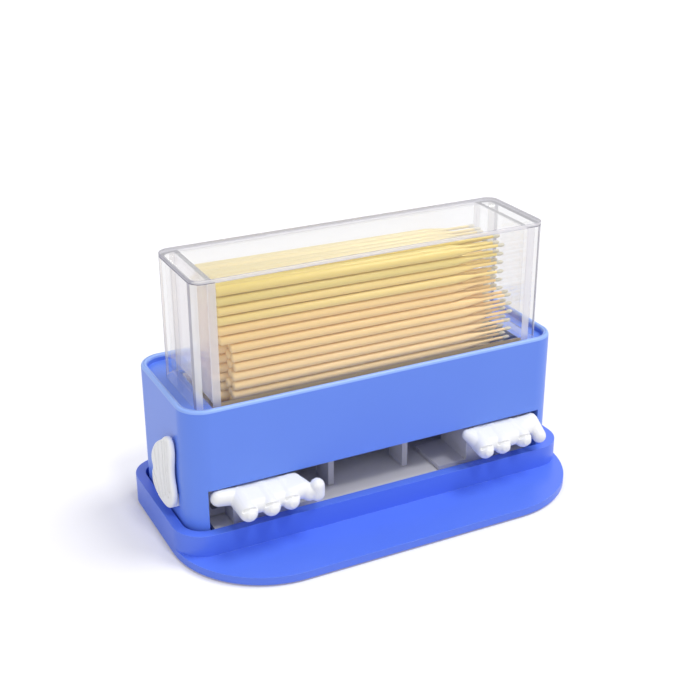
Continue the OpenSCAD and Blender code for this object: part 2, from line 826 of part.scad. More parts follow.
module carriage() {
    color([0.95, 0.95, 0.97]) at_body() {
        block([-arm_out, cradle_back, shutter_z], [arm_out, crossbar_back + shutter_tail, carriage_top]);
        block([-arm_out, crossbar_front - cut, carriage_top - shutter_t - crossbar_h],
            [arm_out, crossbar_back, carriage_top - shutter_t / 2]);
        both_sides() {
            arm();
            end_block();
            block([rib_x - rib_t / 2, crossbar_front - rib_d, carriage_z],
                [rib_x + rib_t / 2, crossbar_front, shutter_z + shutter_t / 2]);
        }
    }
}

// One finger from the wrist to its tip, as two rounded joints
module finger(x, shortfall) {
    knuckle_y = body_front - finger_reach / 2 + shortfall / 2;
    tip_y = body_front - finger_reach + shortfall + fingertip_r;
    root_z = hand_top - finger_r;
    hull() {
        translate([x, carriage_front - finger_r - seat_play, root_z]) sphere(finger_r, $fn = 18);
        translate([x, knuckle_y, root_z]) sphere(finger_r, $fn = 18);
    }
    hull() {
        translate([x, knuckle_y, root_z]) sphere(finger_r, $fn = 18);
        translate([x, tip_y, root_z - finger_droop]) sphere(fingertip_r, $fn = 18);
    }
}

module hand(little_by) {
    thumb_tip = body_w / 2 - slot_inset - thumb_gap - thumb_r;
    thumb_y = carriage_front - thumb_r - seat_play;
    wrist_low = index_x - 3 * finger_pitch;
    shortfalls = [short_by, 0, 0, little_by];
    color([0.97, 0.97, 0.97]) {
        block([wrist_low, body_front - palm_reach, hand_top - wrist_h], [arm_out, carriage_front, hand_top]);
        for (x = peg_places) translate([x, carriage_front - cut, peg_z]) rotate([-90, 0, 0])
            cylinder(d = peg_d, h = peg_len + cut);
        for (i = [0:3]) finger(index_x - i * finger_pitch, shortfalls[i]);
        hull() {
            translate([index_x - thumb_root, thumb_y, hand_top - thumb_r]) sphere(thumb_r, $fn = 18);
            translate([thumb_tip, thumb_y - thumb_turn, hand_top - thumb_r]) sphere(thumb_r, $fn = 18);
        }
    }
}

module left_hand() {
    at_body() left_side() hand(left_little_by);
}

module right_hand() {
    at_body() hand(right_little_by);
}

// An upright rounded flute, from its lower middle to its upper middle
module flute(y, low, high, r) {
    translate([grip_in + grip_back, y, low]) cylinder(r = r, h = high - low);
    for (z = [low, high]) translate([grip_in + grip_back, y, z]) sphere(r);
}

module grip() {
    flute_pitch = grip_w / grip_flutes;
    flute_r = min(grip_ridge, (flute_pitch + flute_lap) / 2);
    color([0.95, 0.95, 0.95]) {
        difference() {
            for (i = [0:grip_flutes - 1]) {
                across = (i + 0.5) / grip_flutes;
                y = grip_front + grip_w * across;
                lift = grip_round * pow(2 * across - 1, 2);
                flute(y, grip_z + flute_r + lift, grip_z + grip_h - flute_r - grip_slant * across, flute_r);
            }
            block([0, grip_front - grip_w, 0], [grip_in + grip_back / 2, grip_front + 2 * grip_w, body_top]);
        }
        block([grip_in, grip_front + flute_r, grip_z + flute_r + grip_round],
            [grip_in + grip_back, grip_front + grip_w - flute_r, grip_z + grip_h - flute_r - grip_slant]);
        stem_in = block_out - stem_seat + stem_end_gap;
        translate([stem_in, stem_y, stem_z]) stem(grip_in + grip_back - stem_in, 0);
    }
}

module left_grip() {
    at_body() left_side() grip();
}

module right_grip() {
    at_body() grip();
}

base_tray();
rubber_feet();
body_shell();
body_screws();
floor_tray();
floor_screws();
left_guide_rod();
right_guide_rod();
left_return_spring();
right_return_spring();
spring_washers();
feed_chute();
chute_screws();
hopper();
hopper_lid();
brush_handles();
brush_tips();
queued_brushes();
carriage();
left_hand();
right_hand();
left_grip();
right_grip();
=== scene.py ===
# %% [markdown]
# # A microbrush dispenser
# A clear box of thin brushes stands on a blue body, and two white hands reach out of a slot in front.
# The solid parts come in first, as a fixed frame at their real size in metres. Every piece made below
# goes where those parts are, so nothing is fitted by eye afterwards.

# %% Load the frame
import math
import random

import bmesh
import bpy
from mathutils import Matrix, Vector


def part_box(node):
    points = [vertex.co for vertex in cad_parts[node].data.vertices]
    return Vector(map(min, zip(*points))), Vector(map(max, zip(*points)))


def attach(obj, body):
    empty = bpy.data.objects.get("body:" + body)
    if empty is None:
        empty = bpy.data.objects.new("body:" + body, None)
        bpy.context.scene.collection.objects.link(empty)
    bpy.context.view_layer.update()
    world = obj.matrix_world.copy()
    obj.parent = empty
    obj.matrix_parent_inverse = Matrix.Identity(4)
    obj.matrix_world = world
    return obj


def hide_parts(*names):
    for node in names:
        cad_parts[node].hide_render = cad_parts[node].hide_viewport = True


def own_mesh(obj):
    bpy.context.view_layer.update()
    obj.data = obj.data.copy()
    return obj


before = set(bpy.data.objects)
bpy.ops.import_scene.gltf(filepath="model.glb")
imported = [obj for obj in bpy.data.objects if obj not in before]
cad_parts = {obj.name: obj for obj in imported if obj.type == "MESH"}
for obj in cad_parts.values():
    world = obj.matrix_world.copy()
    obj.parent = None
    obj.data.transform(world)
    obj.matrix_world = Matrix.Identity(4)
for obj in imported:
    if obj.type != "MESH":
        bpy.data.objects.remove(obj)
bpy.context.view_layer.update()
MM = 0.001

# %% [markdown]
# ## Camera
# The camera stands where the photograph was taken: a little to the left, looking down. Its place was
# worked out from the straight edges of the body and the clear box. It comes first, because every later
# judgement is made through it.

# %% Camera
CAMERA_SPOT = Vector((-165.69, -313.44, 211.77)) * MM
CAMERA_TURN = math.radians(-27.08)
CAMERA_DIP = math.radians(24.19)
LENS = 62.88
NEAREST = 10 * MM

bpy.ops.object.select_all(action="DESELECT")
bpy.ops.object.camera_add(location=CAMERA_SPOT, rotation=(math.pi / 2 - CAMERA_DIP, 0, CAMERA_TURN))
camera = bpy.context.object
camera.data.lens = LENS
camera.data.clip_start = NEAREST
bpy.context.scene.camera = camera
bpy.context.scene.view_settings.view_transform = "Standard"
print("camera distance, mm:", round(CAMERA_SPOT.length / MM))

# %% [markdown]
# ## A kit for shader nodes
# A finish is a small graph of nodes. Written out node by node it is hard to read, so one class wraps an
# output socket: adding or multiplying two of them adds a Math node. Every other node comes from a
# single method that sets the node's options first and its sockets second.

# %% Node kit
class Value:
    """A node's output. Arithmetic on it adds Math nodes to its tree."""

    def __init__(self, kit, socket):
        self.kit = kit
        self.socket = socket

    def __add__(self, other):
        return self.kit.math("ADD", self, other)

    def __sub__(self, other):
        return self.kit.math("SUBTRACT", self, other)

    def __rsub__(self, other):
        return self.kit.math("SUBTRACT", other, self)

    def __mul__(self, other):
        return self.kit.math("MULTIPLY", self, other)

    __radd__ = __add__
    __rmul__ = __mul__


class Kit:
    """Adds nodes to one tree and returns their outputs as values."""

    def __init__(self, tree):
        self.tree = tree
        tree.nodes.clear()

    def node(self, kind, settings=None, sockets=None, output=0):
        made = self.tree.nodes.new(kind)
        for name, value in (settings or {}).items():
            if name == "stops":
                self.set_stops(made.color_ramp.elements, value)
            else:
                setattr(made, name, value)
        for name, value in (sockets or {}).items():
            if isinstance(value, Value):
                self.tree.links.new(value.socket, made.inputs[name])
            else:
                made.inputs[name].default_value = value
        return Value(self, made.outputs[output]) if made.outputs else made

    @staticmethod
    def set_stops(elements, stops):
        while len(elements) < len(stops):
            elements.new(1.0)
        for element, (place, colour) in zip(elements, stops):
            element.position = place
            element.color = (*colour, 1.0)

    def math(self, operation, first, second):
        return self.node("ShaderNodeMath", {"operation": operation}, {0: first, 1: second})

    def mix(self, factor, first, second):
        """A colour between two colours."""
        return self.node("ShaderNodeMix", {"data_type": "RGBA"}, {0: factor, 6: first, 7: second}, output=2)

    def place(self, stretch=(1, 1, 1)):
        """Object coordinates in metres, stretched along each axis."""
        spot = self.node("ShaderNodeTexCoord", output="Object")
        return self.node("ShaderNodeMapping", {}, {"Vector": spot, "Scale": stretch})

    def noise(self, size, detail=2.0, stretch=(1, 1, 1)):
        """Noise whose blobs are about one size across, in metres, from 0 to 1."""
        sockets = {"Vector": self.place(stretch), "Scale": 1 / size, "Detail": detail}
        return self.node("ShaderNodeTexNoise", {}, sockets, output=0)

    def bump(self, height, depth):
        """A normal from a height between 0 and 1 that stands for a depth in metres."""
        return self.node("ShaderNodeBump", {}, {"Height": height, "Distance": depth}, output="Normal")

    def ray(self, kind):
        """1 for one kind of ray and 0 for the others."""
        return self.node("ShaderNodeLightPath", output=f"Is {kind} Ray")

    def surface(self, sockets):
        shader = self.node("ShaderNodeBsdfPrincipled", {}, sockets)
        self.node("ShaderNodeOutputMaterial", {}, {"Surface": shader})


def new_material(name):
    material = bpy.data.materials.new(name)
    material.use_nodes = True
    return material, Kit(material.node_tree)


print("node kit ready")

# %% [markdown]
# ## Stage
# The photograph has a plain white ground with a soft shadow to the left. The floor is nearly white and
# keeps the shadow. The world is white to the camera, to reflections and through clear plastic, and dimmer
# as a lamp, so that pale parts don't burn out. A wide, soft sun from the upper right gives the shadow, one
# from high in front lights the slot's sill and puts the hands' shadow on the rim, and a faint one fills the
# left side.

# %% Stage
FLOOR_WHITE = (0.84, 0.84, 0.86, 1)
FLOOR_LIFT = (0.15, 0.14, 0.15, 1)
FLOOR_SIZE = 9
SKY_LIGHT = 0.52
LAMPS = {
    "sun_above": {"spot": (0.5, -0.15, 1.0), "power": 1.35, "width": 24},
    "sun_in_front": {"spot": (0.2, -1.0, 1.7), "power": 0.75, "width": 10},
    "sun_at_left": {"spot": (-1.0, -0.5, 0.6), "power": 0.25, "width": 30},
}

bpy.ops.object.select_all(action="DESELECT")
bpy.ops.mesh.primitive_plane_add(size=FLOOR_SIZE)
floor = bpy.context.object
floor.name = "floor"
floor_finish, kit = new_material("table_white")
in_view = kit.ray("Camera")
kit.surface({
    "Base Color": FLOOR_WHITE,
    "Roughness": 0.7,
    "Specular IOR Level": 0.1,
    "Emission Color": kit.mix(in_view, (0, 0, 0, 1), FLOOR_LIFT),
    "Emission Strength": 1.0,
})
floor.data.materials.append(floor_finish)

world = bpy.data.worlds.new("studio")
world.use_nodes = True
bpy.context.scene.world = world
kit = Kit(world.node_tree)
seen = [kit.ray(kind) for kind in ("Camera", "Glossy", "Transmission")]
shows_white = kit.math("MINIMUM", seen[0] + seen[1] + seen[2], 1.0)
sky = kit.node("ShaderNodeBackground", {}, {"Color": (1, 1, 1, 1), "Strength": SKY_LIGHT})
white = kit.node("ShaderNodeBackground", {}, {"Color": (1, 1, 1, 1), "Strength": 1.0})
both = kit.node("ShaderNodeMixShader", {}, {0: shows_white, 1: sky, 2: white})
kit.node("ShaderNodeOutputWorld", {}, {"Surface": both})

for name, lamp in LAMPS.items():
    bpy.ops.object.light_add(type="SUN", rotation=Vector(lamp["spot"]).to_track_quat("Z", "Y").to_euler())
    sun = bpy.context.object
    sun.name = name
    sun.data.energy = lamp["power"]
    sun.data.angle = math.radians(lamp["width"])
print("stage: floor, sky", SKY_LIGHT, "and lamps", list(LAMPS))

# %% [markdown]
# ## Blue plastic
# The base and the body are moulded in one blue, semi-gloss; the base's deeper blue is painted shade. A
# moulded face is never quite even: the gloss changes slowly over it, and close up it has a fine
# orange-peel.
# Both come from noise on Object coordinates, so the grain keeps its real size. The rounded edges get a
# paler blue, a painted highlight.

# %% Blue plastic
BODY_BLUES = ((0.12, 0.25, 0.86, 1), (0.135, 0.27, 0.9, 1))
# The base's blues are deeper than the body's: painted shade, as the base lies low under the body and hands.
BASE_SHADED_BLUES = ((0.088, 0.185, 0.83, 1), (0.1, 0.205, 0.87, 1))
EDGE_HIGHLIGHT_BLUES = ((0.27, 0.44, 0.96, 1), (0.31, 0.48, 0.99, 1))
BLUE_CLOUD = 26 * MM
BLUE_PEEL = 0.9 * MM
BLUE_PEEL_DEPTH = 0.012 * MM


def blue_plastic(name, deep, bright):
    material, kit = new_material(name)
    clouds = kit.noise(BLUE_CLOUD, detail=3)
    peel = kit.noise(BLUE_PEEL)
    kit.surface({
        "Base Color": kit.mix(clouds, deep, bright),
        "Roughness": 0.26 + 0.14 * clouds,
        "Normal": kit.bump(peel, BLUE_PEEL_DEPTH),
    })
    return material


def set_blue(piece, blue):
    """A blue finish first and the paler edge finish, a painted highlight, second, so that a bevel can ask
    for it.
    """
    piece.data.materials.append(blue)
    piece.data.materials.append(highlight_edge_blue)


shaded_base_blue = blue_plastic("blue_base", *BASE_SHADED_BLUES)
body_blue = blue_plastic("blue_body", *BODY_BLUES)
highlight_edge_blue = blue_plastic("blue_edge_highlight", *EDGE_HIGHLIGHT_BLUES)
print("blue plastic for base, body and their edges")

# %% [markdown]
# ## White plastic
# Hands, grips, floor and carriage are white. A white part looks real when it isn't pure white: it stays
# below full brightness, a little cool, with a faint cloud in its gloss. The grips' brighter white is
# painted light on their side away from the lamps, and the darker, bluer white of the chute and carriage is
# painted shade for the inside of the body.

# %% White plastic
WHITE_CLOUD = 9 * MM
WHITE_PEEL = 0.7 * MM
WHITE_PEEL_DEPTH = 0.01 * MM
WHITE_SHADE = 0.96


def white_plastic(name, colour, roughness):
    material, kit = new_material(name)
    clouds = kit.noise(WHITE_CLOUD, detail=3)
    peel = kit.noise(WHITE_PEEL)
    shade = tuple(WHITE_SHADE * x for x in colour)
    kit.surface({
        "Base Color": kit.mix(clouds, (*shade, 1), (*colour, 1)),
        "Roughness": (roughness - 0.06) + 0.12 * clouds,
        "Normal": kit.bump(peel, WHITE_PEEL_DEPTH),
    })
    return material


hand_white = white_plastic("white_hand", (0.88, 0.88, 0.885), 0.38)
# The grips' white is brighter than the hands': painted light on their side turned away from the lamps.
lit_grip_white = white_plastic("white_grip", (0.95, 0.95, 0.955), 0.36)
floor_white = white_plastic("white_floor", (0.86, 0.85, 0.87), 0.42)
# A darker, bluer white for the chute and carriage: painted shade for the inside of the body.
shaded_inner_white = white_plastic("white_inside_painted_shade", (0.62, 0.62, 0.7), 0.42)
print("white plastic for hands, grips and inner parts")

# %% [markdown]
# ## Clear plastic
# The box and its lid are clear polystyrene. Seen straight on, such a wall nearly vanishes, and its cut
# edges and tight corners, where light is bent away, look grey or white. So one shader that passes a share
# of the light straight through, under a glossy coat, is used in several shares and tints that paint that
# light and shade in: nearly all for the walls, less for the lid and the panels seen edgeways, whose white
# haze is a painted sheen, and little for edges, rims and corners, whose grey is painted shade and whose
# white is a painted highlight. On the funnel's slopes and the walls' lowest strip a tan tint paints the
# brushes' reflection and light. The rays that carry light to other surfaces meet a plain see-through
# shader, so that lamps and sky reach the brushes as they reach the rest.

# %% Clear plastic
CLEAR_FINISHES = {
    "clear_hopper": ((1.0, 0.998, 1.0, 1), 0.995),
    "clear_lid": ((1.0, 0.998, 1.0, 1), 0.93),
    "clear_edge_shade": ((0.46, 0.45, 0.52, 1), 0.3),
    "clear_glint": ((0.97, 0.97, 0.98, 1), 0.35),
    "clear_rim_shade": ((0.13, 0.125, 0.15, 1), 0.1),
    "clear_panel_sheen": ((1.0, 0.95, 0.975, 1), 0.5),
    "clear_joint_shade": ((0.86, 0.84, 0.87, 1), 0.4),
    "clear_funnel_reflection": ((1.0, 0.86, 0.62, 1), 0.15),
    "clear_foot_painted_light": ((0.84, 0.62, 0.32, 1), 0.35),
}
CLEAR_SHADOW = (0.97, 0.97, 0.98, 1)
CLEAR_HAZE = 18 * MM
COAT_IOR = 1.5


def clear_plastic(name, tint, clearness):
    """Plastic that lets a share of the light straight through and has gloss on top."""
    material, kit = new_material(name)
    haze = kit.noise(CLEAR_HAZE, detail=3)
    wall = kit.node("ShaderNodeBsdfPrincipled", {}, {
        "Base Color": tint,
        "Roughness": 0.02 + 0.03 * haze,
        "IOR": 1.0,
        "Transmission Weight": clearness,
        "Coat Weight": 1.0,
        "Coat Roughness": 0.03,
        "Coat IOR": COAT_IOR,
    })
    through = kit.node("ShaderNodeBsdfTransparent", {}, {"Color": CLEAR_SHADOW})
    unseen = kit.ray("Shadow") + kit.ray("Diffuse")
    both = kit.node("ShaderNodeMixShader", {}, {0: unseen, 1: wall, 2: through})
    kit.node("ShaderNodeOutputMaterial", {}, {"Surface": both})
    return material


clear = {name: clear_plastic(name, *finish) for name, finish in CLEAR_FINISHES.items()}
print("clear plastic:", list(clear))

# %% [markdown]
# ## Brush plastic and flock
# The handles go from tan at the bottom of the heap to yellow at the top; the change of hue is the brushes'
# own, and the darkening towards the top is painted shade that offsets the stronger light there. No two are
# quite alike. Each brush carries its own number in an attribute of the mesh, which shifts its colour. The
# tips are flocked, so they are matt and lumpy.

# %% Brush finishes
HEAP_LOW = 46 * MM
HEAP_HIGH = 87 * MM
TINT = "brush_tint"
HEAP_COLOURS_AND_SHADE = (
    (0.0, (0.95, 0.69, 0.34)),
    (0.3, (0.97, 0.66, 0.29)),
    (0.52, (0.96, 0.65, 0.25)),
    (0.72, (0.93, 0.68, 0.21)),
    (0.86, (0.86, 0.66, 0.17)),
    (1.0, (0.74, 0.57, 0.13)),
)
TINT_SHIFT = 0.22
PALE_STRAW = (0.92, 0.8, 0.5, 1)
PALE_SHARE = 0.1
STREAK_SIZE = 1.2 * MM
STREAK_DEPTH = 0.02 * MM
ALONG_BRUSH = (0.06, 1, 1)
FLOCK_SHADE = (0.55, 0.5, 0.38, 1)
FLOCK_LIGHT = (0.84, 0.79, 0.62, 1)
FUZZ_SIZE = 0.25 * MM
FUZZ_DEPTH = 0.08 * MM


def brush_plastic(name):
    material, kit = new_material(name)
    spot = kit.node("ShaderNodeTexCoord", output="Object")
    height = kit.node("ShaderNodeSeparateXYZ", {}, {0: spot}, output="Z")
    tint = kit.node("ShaderNodeAttribute", {"attribute_name": TINT}, output="Fac")
    # The colour follows the height and darkens towards the top: painted shade that offsets the stronger
    # light there.
    level = (height - HEAP_LOW) * (1 / (HEAP_HIGH - HEAP_LOW)) + TINT_SHIFT * (tint - 0.5)
    colour = kit.node("ShaderNodeValToRGB", {"stops": HEAP_COLOURS_AND_SHADE}, {0: level})
    streaks = kit.noise(STREAK_SIZE, stretch=ALONG_BRUSH)
    pale = kit.mix(PALE_SHARE * streaks + PALE_SHARE * tint, colour, PALE_STRAW)
    kit.surface({
        "Base Color": pale,
        "Roughness": 0.34 + 0.16 * streaks,
        "Normal": kit.bump(streaks, STREAK_DEPTH),
    })
    return material


def flock(name):
    material, kit = new_material(name)
    fuzz = kit.noise(FUZZ_SIZE, detail=3)
    kit.surface({
        "Base Color": kit.mix(fuzz, FLOCK_SHADE, FLOCK_LIGHT),
        "Roughness": 0.9,
        "Normal": kit.bump(fuzz, FUZZ_DEPTH),
    })
    return material


handle_yellow = brush_plastic("brush_handle")
tip_flock = flock("brush_tip")
print("brush finishes")

# %% [markdown]
# ## Steel and rubber
# Screws, rods and springs are steel, and the feet are rubber. Ground rods and wire have fine scratches
# along their length, and rubber has a matt, dusty grain.

# %% Steel and rubber
SCRATCH_SIZE = 0.35 * MM
SCRATCH_DEPTH = 0.004 * MM
STEEL_SHADE = 0.86
ALL_WAYS = (1, 1, 1)
ALONG_ROD = (1, 0.05, 1)
DUST_SIZE = 1.1 * MM
DUST_DEPTH = 0.03 * MM
RUBBER_DARK = (0.03, 0.03, 0.035, 1)
RUBBER_DUST = (0.075, 0.075, 0.08, 1)


def steel(name, colour, roughness, stretch):
    material, kit = new_material(name)
    scratches = kit.noise(SCRATCH_SIZE, detail=3, stretch=stretch)
    shade = tuple(STEEL_SHADE * x for x in colour)
    kit.surface({
        "Base Color": kit.mix(scratches, (*shade, 1), (*colour, 1)),
        "Metallic": 1.0,
        "Roughness": roughness + 0.14 * scratches,
        "Normal": kit.bump(scratches, SCRATCH_DEPTH),
    })
    return material


def rubber(name):
    material, kit = new_material(name)
    dust = kit.noise(DUST_SIZE, detail=4)
    kit.surface({
        "Base Color": kit.mix(dust, RUBBER_DARK, RUBBER_DUST),
        "Roughness": 0.7 + 0.2 * dust,
        "Normal": kit.bump(dust, DUST_DEPTH),
    })
    return material


screw_steel = steel("screw_steel", (0.62, 0.62, 0.64), 0.28, ALL_WAYS)
rod_steel = steel("rod_steel", (0.7, 0.7, 0.72), 0.12, ALONG_ROD)
spring_steel = steel("spring_steel", (0.6, 0.6, 0.63), 0.2, ALL_WAYS)
foot_rubber = rubber("foot_rubber")
print("steel and rubber")

# %% [markdown]
# ## Modelling by hand, in code
# A piece starts as a primitive between two corners. In edit mode its edges or faces are picked by their
# place, and the usual operators shape them. These few helpers do the picking, so that the cells after them
# read like the steps at the screen.

# %% Modelling helpers
NEAR = 0.01 * MM
MERGE = 0.002 * MM
FLAT_TURN = math.radians(0.4)
SHARP_TURN = math.radians(45)
MOSTLY = 0.9
HARDLY = 0.1


def activate(piece):
    bpy.ops.object.select_all(action="DESELECT")
    piece.select_set(True)
    bpy.context.view_layer.objects.active = piece


def apply_place():
    bpy.ops.object.transform_apply(location=True, rotation=True, scale=True)


def add_block(name, low, high):
    """A block between two corners, with its place in its mesh."""
    low, high = Vector(low), Vector(high)
    bpy.ops.object.select_all(action="DESELECT")
    bpy.ops.mesh.primitive_cube_add(size=1, location=(low + high) / 2)
    block = bpy.context.object
    block.name = name
    block.scale = high - low
    apply_place()
    return block


def pick(piece, kind, test):
    """In edit mode, select just the faces, edges or verts of a piece that pass a test."""
    activate(piece)
    bpy.ops.object.mode_set(mode="EDIT")
    bpy.ops.mesh.select_mode(type={"faces": "FACE", "edges": "EDGE", "verts": "VERT"}[kind])
    bpy.ops.mesh.select_all(action="DESELECT")
    mesh = bmesh.from_edit_mesh(piece.data)
    for part in getattr(mesh, kind):
        if test(part):
            part.select_set(True)
    mesh.select_flush_mode()
    bmesh.update_edit_mesh(piece.data)


def every(part):
    return True


def done():
    bpy.ops.object.mode_set(mode="OBJECT")


def middle(edge):
    return (edge.verts[0].co + edge.verts[1].co) / 2


def upright(edge):
    run = edge.verts[0].co - edge.verts[1].co
    return abs(run.x) < NEAR and abs(run.y) < NEAR


def round_uprights(piece, radius, segments, test=every):
    pick(piece, "edges", lambda edge: upright(edge) and test(edge))
    bpy.ops.mesh.bevel(offset=radius, segments=segments, affect="EDGES")
    done()


def pick_level(piece, z):
    """Select the flat faces at one height."""
    def is_level(face):
        return abs(face.calc_center_median().z - z) < NEAR and abs(face.normal.z) > MOSTLY

    pick(piece, "faces", is_level)


def push(x=0.0, y=0.0, z=0.0):
    """Extrude what is picked by a distance in metres."""
    bpy.ops.mesh.extrude_region_move(TRANSFORM_OT_translate={"value": (x, y, z), "orient_type": "GLOBAL"})


def use(piece, kind, **settings):
    """Add a modifier with its settings and apply it."""
    activate(piece)
    modifier = piece.modifiers.new(kind.lower(), kind)
    for name, value in settings.items():
        setattr(modifier, name, value)
    bpy.ops.object.modifier_apply(modifier=modifier.name)


def combine(piece, tool, operation):
    use(piece, "BOOLEAN", object=tool, operation=operation, solver="EXACT")
    bpy.data.objects.remove(tool)


def tidy_mesh(piece):
    """Merge doubles and take out edges that lie inside a flat face."""
    pick(piece, "verts", every)
    bpy.ops.mesh.remove_doubles(threshold=MERGE)
    bpy.ops.mesh.dissolve_limited(angle_limit=FLAT_TURN)
    done()


def shade(piece):
    """Smooth shading that breaks at sharp edges and keeps flat faces flat."""
    activate(piece)
    bpy.ops.object.shade_smooth_by_angle(angle=SHARP_TURN)
    use(piece, "WEIGHTED_NORMAL", keep_sharp=True)


def soften(piece, width, segments=3, angle=35, **settings):
    """Round the sharp edges by a small width."""
    use(piece, "BEVEL", width=width, segments=segments, limit_method="ANGLE",
        angle_limit=math.radians(angle), use_clamp_overlap=True, **settings)
    shade(piece)


def join(name, pieces):
    """One object from several, under a new name."""
    bpy.ops.object.select_all(action="DESELECT")
    for piece in pieces:
        piece.select_set(True)
    bpy.context.view_layer.objects.active = pieces[0]
    bpy.ops.object.join()
    pieces[0].name = name
    return pieces[0]


def add_drum(name, x, y, low_z, high_z, radius, sides=32):
    """An upright cylinder between two levels."""
    bpy.ops.object.select_all(action="DESELECT")
    bpy.ops.mesh.primitive_cylinder_add(
        vertices=sides, radius=radius, depth=high_z - low_z, location=(x, y, (low_z + high_z) / 2))
    drum = bpy.context.object
    drum.name = name
    apply_place()
    return drum


def corner_spots(node, radius):
    """Middles of four round pieces of a radius at the corners of a solid's box."""
    low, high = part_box(node)
    return [(x, y) for x in (low.x + radius, high.x - radius) for y in (low.y + radius, high.y - radius)]


def finish_piece(piece, body, slot, material, *nodes):
    """Give a piece its body, the solids that it stands for and, if it has none yet, its finish."""
    if not piece.data.materials:
        piece.data.materials.append(material)
    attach(piece, body)
    if nodes:
        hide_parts(*nodes)
    print(piece.name, "faces:", len(piece.data.polygons))


print("modelling helpers ready")

# %% [markdown]
# ## Base tray
# One moulding: a thin plate that runs forward into a rounded apron, and an upright rim round the body.
# Two blocks with rounded corners are enough. The rim's block is hollowed by an inset and an extrusion,
# the two are joined, and all sharp edges get the small rounding that catches the light.

# %% Base tray
PLATE_T = 2.5 * MM
RIM_T = 3.2 * MM
RIM_R = 10 * MM
APRON_R = 31 * MM
GROOVE_SIDE = 0.45 * MM
BASE_EDGE = 0.7 * MM
HEAD_R = 2.1 * MM
HEAD_H = 1.2 * MM
SHANK_R = 1.1 * MM
SCREW_PLAY = 0.1 * MM
FOOT_R = 5 * MM
FOOT_PLAY = 0.1 * MM
PAST = 1 * MM
APRON_STEPS = 20
RIM_STEPS = 10

base_low, base_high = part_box("base_tray")
body_low, body_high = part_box("body_shell")
plate_top = base_low.z + PLATE_T
rim_front = body_low.y - GROOVE_SIDE - RIM_T

base_tray = add_block("base_tray_moulded", base_low, (base_high.x, base_high.y, plate_top))
round_uprights(base_tray, APRON_R, APRON_STEPS, lambda edge: middle(edge).y < 0)
round_uprights(base_tray, RIM_R, RIM_STEPS, lambda edge: middle(edge).y > base_high.y - NEAR)

rim = add_block("rim", (base_low.x, rim_front, base_low.z + PLATE_T / 2), base_high)
round_uprights(rim, RIM_R, RIM_STEPS)
pick_level(rim, base_high.z)
bpy.ops.mesh.inset(thickness=RIM_T)
push(z=plate_top - base_high.z)
done()

combine(base_tray, rim, "UNION")
tidy_mesh(base_tray)
set_blue(base_tray, shaded_base_blue)
# The rounded edges get the paler blue, a painted highlight.
soften(base_tray, BASE_EDGE, material=1)

recesses = []
for node in ("body_screws", "floor_screws"):
    seat_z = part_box(node)[0].z + HEAD_H
    for x, y in corner_spots(node, HEAD_R):
        recesses.append(add_drum("recess", x, y, base_low.z - PAST, seat_z, HEAD_R + SCREW_PLAY))
        recesses.append(add_drum("recess", x, y, seat_z - PAST / 2, plate_top + PAST, SHANK_R + SCREW_PLAY))
foot_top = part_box("rubber_feet")[1].z
for x, y in corner_spots("rubber_feet", FOOT_R):
    recesses.append(add_drum("recess", x, y, base_low.z - PAST, foot_top, FOOT_R + FOOT_PLAY))
for recess in recesses:
    combine(base_tray, recess, "DIFFERENCE")
shade(base_tray)
finish_piece(base_tray, "housing", "blue_base", shaded_base_blue, "base_tray")

# %% [markdown]
# ## Body shell
# A blue box with round corners, open below, with a sunk deck on top and a long slot in front. The walls
# come from insets pushed in from both ends; the slot, the deck's opening and the two side slots are cut
# with blocks, because each is a plain straight cut in the real mould.

# %% Body shell
BODY_R = 8.2 * MM
BODY_WALL = 2 * MM
DECK_SINK = 2.2 * MM
DECK_T = 2 * MM
SLOT_INSET = 6.1 * MM
SLOT_GAP = 0.2 * MM
RUN_GAP = 0.3 * MM
DECK_PLAY = 0.4 * MM
HOPPER_WALL = 1.8 * MM
PARTITION_T = 1.6 * MM
POCKET_W = 3.7 * MM
STEM_W = 5 * MM
STEM_H = 4 * MM
STEM_INSET = 1 * MM
STEM_COVER = 0.9 * MM
STEM_ROOM = 0.35 * MM
BLOCK_H = 11.2 * MM
TRAVEL = 11 * MM
TOP_EDGE = 0.95 * MM
CUT_EDGE = 0.3 * MM
BOSS_R = 2.8 * MM
BOSS_H = 9 * MM
POST_R = 2.3 * MM
BODY_STEPS = 15
CUT_TURN = 50

carriage_low, carriage_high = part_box("carriage")
hopper_low, hopper_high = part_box("hopper")
grip_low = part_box("right_grip")[0]
deck_z = body_high.z - DECK_SINK
slot_low_z = carriage_low.z - RUN_GAP
slot_high_z = carriage_high.z + SLOT_GAP
slot_half = body_high.x - SLOT_INSET
stem_y = grip_low.y + STEM_INSET + STEM_W / 2
stem_z = carriage_low.z + BLOCK_H - STEM_H / 2 - STEM_COVER
chamber_half = hopper_high.x - HOPPER_WALL - POCKET_W - PARTITION_T
chamber_low_y = hopper_low.y + HOPPER_WALL
chamber_high_y = hopper_high.y - HOPPER_WALL

body_shell = add_block("body_shell_moulded", body_low, body_high)
set_blue(body_shell, body_blue)
round_uprights(body_shell, BODY_R, BODY_STEPS)
pick_level(body_shell, body_high.z)
bpy.ops.mesh.inset(thickness=BODY_WALL)
push(z=-DECK_SINK)
done()
pick(body_shell, "edges", lambda edge: abs(middle(edge).z - body_high.z) < NEAR)
# The top edges get the paler blue, a painted highlight.
bpy.ops.mesh.bevel(offset=TOP_EDGE, segments=4, affect="EDGES", material=1)
done()
pick_level(body_shell, body_low.z)
bpy.ops.mesh.inset(thickness=BODY_WALL)
push(z=deck_z - DECK_T - body_low.z)
done()

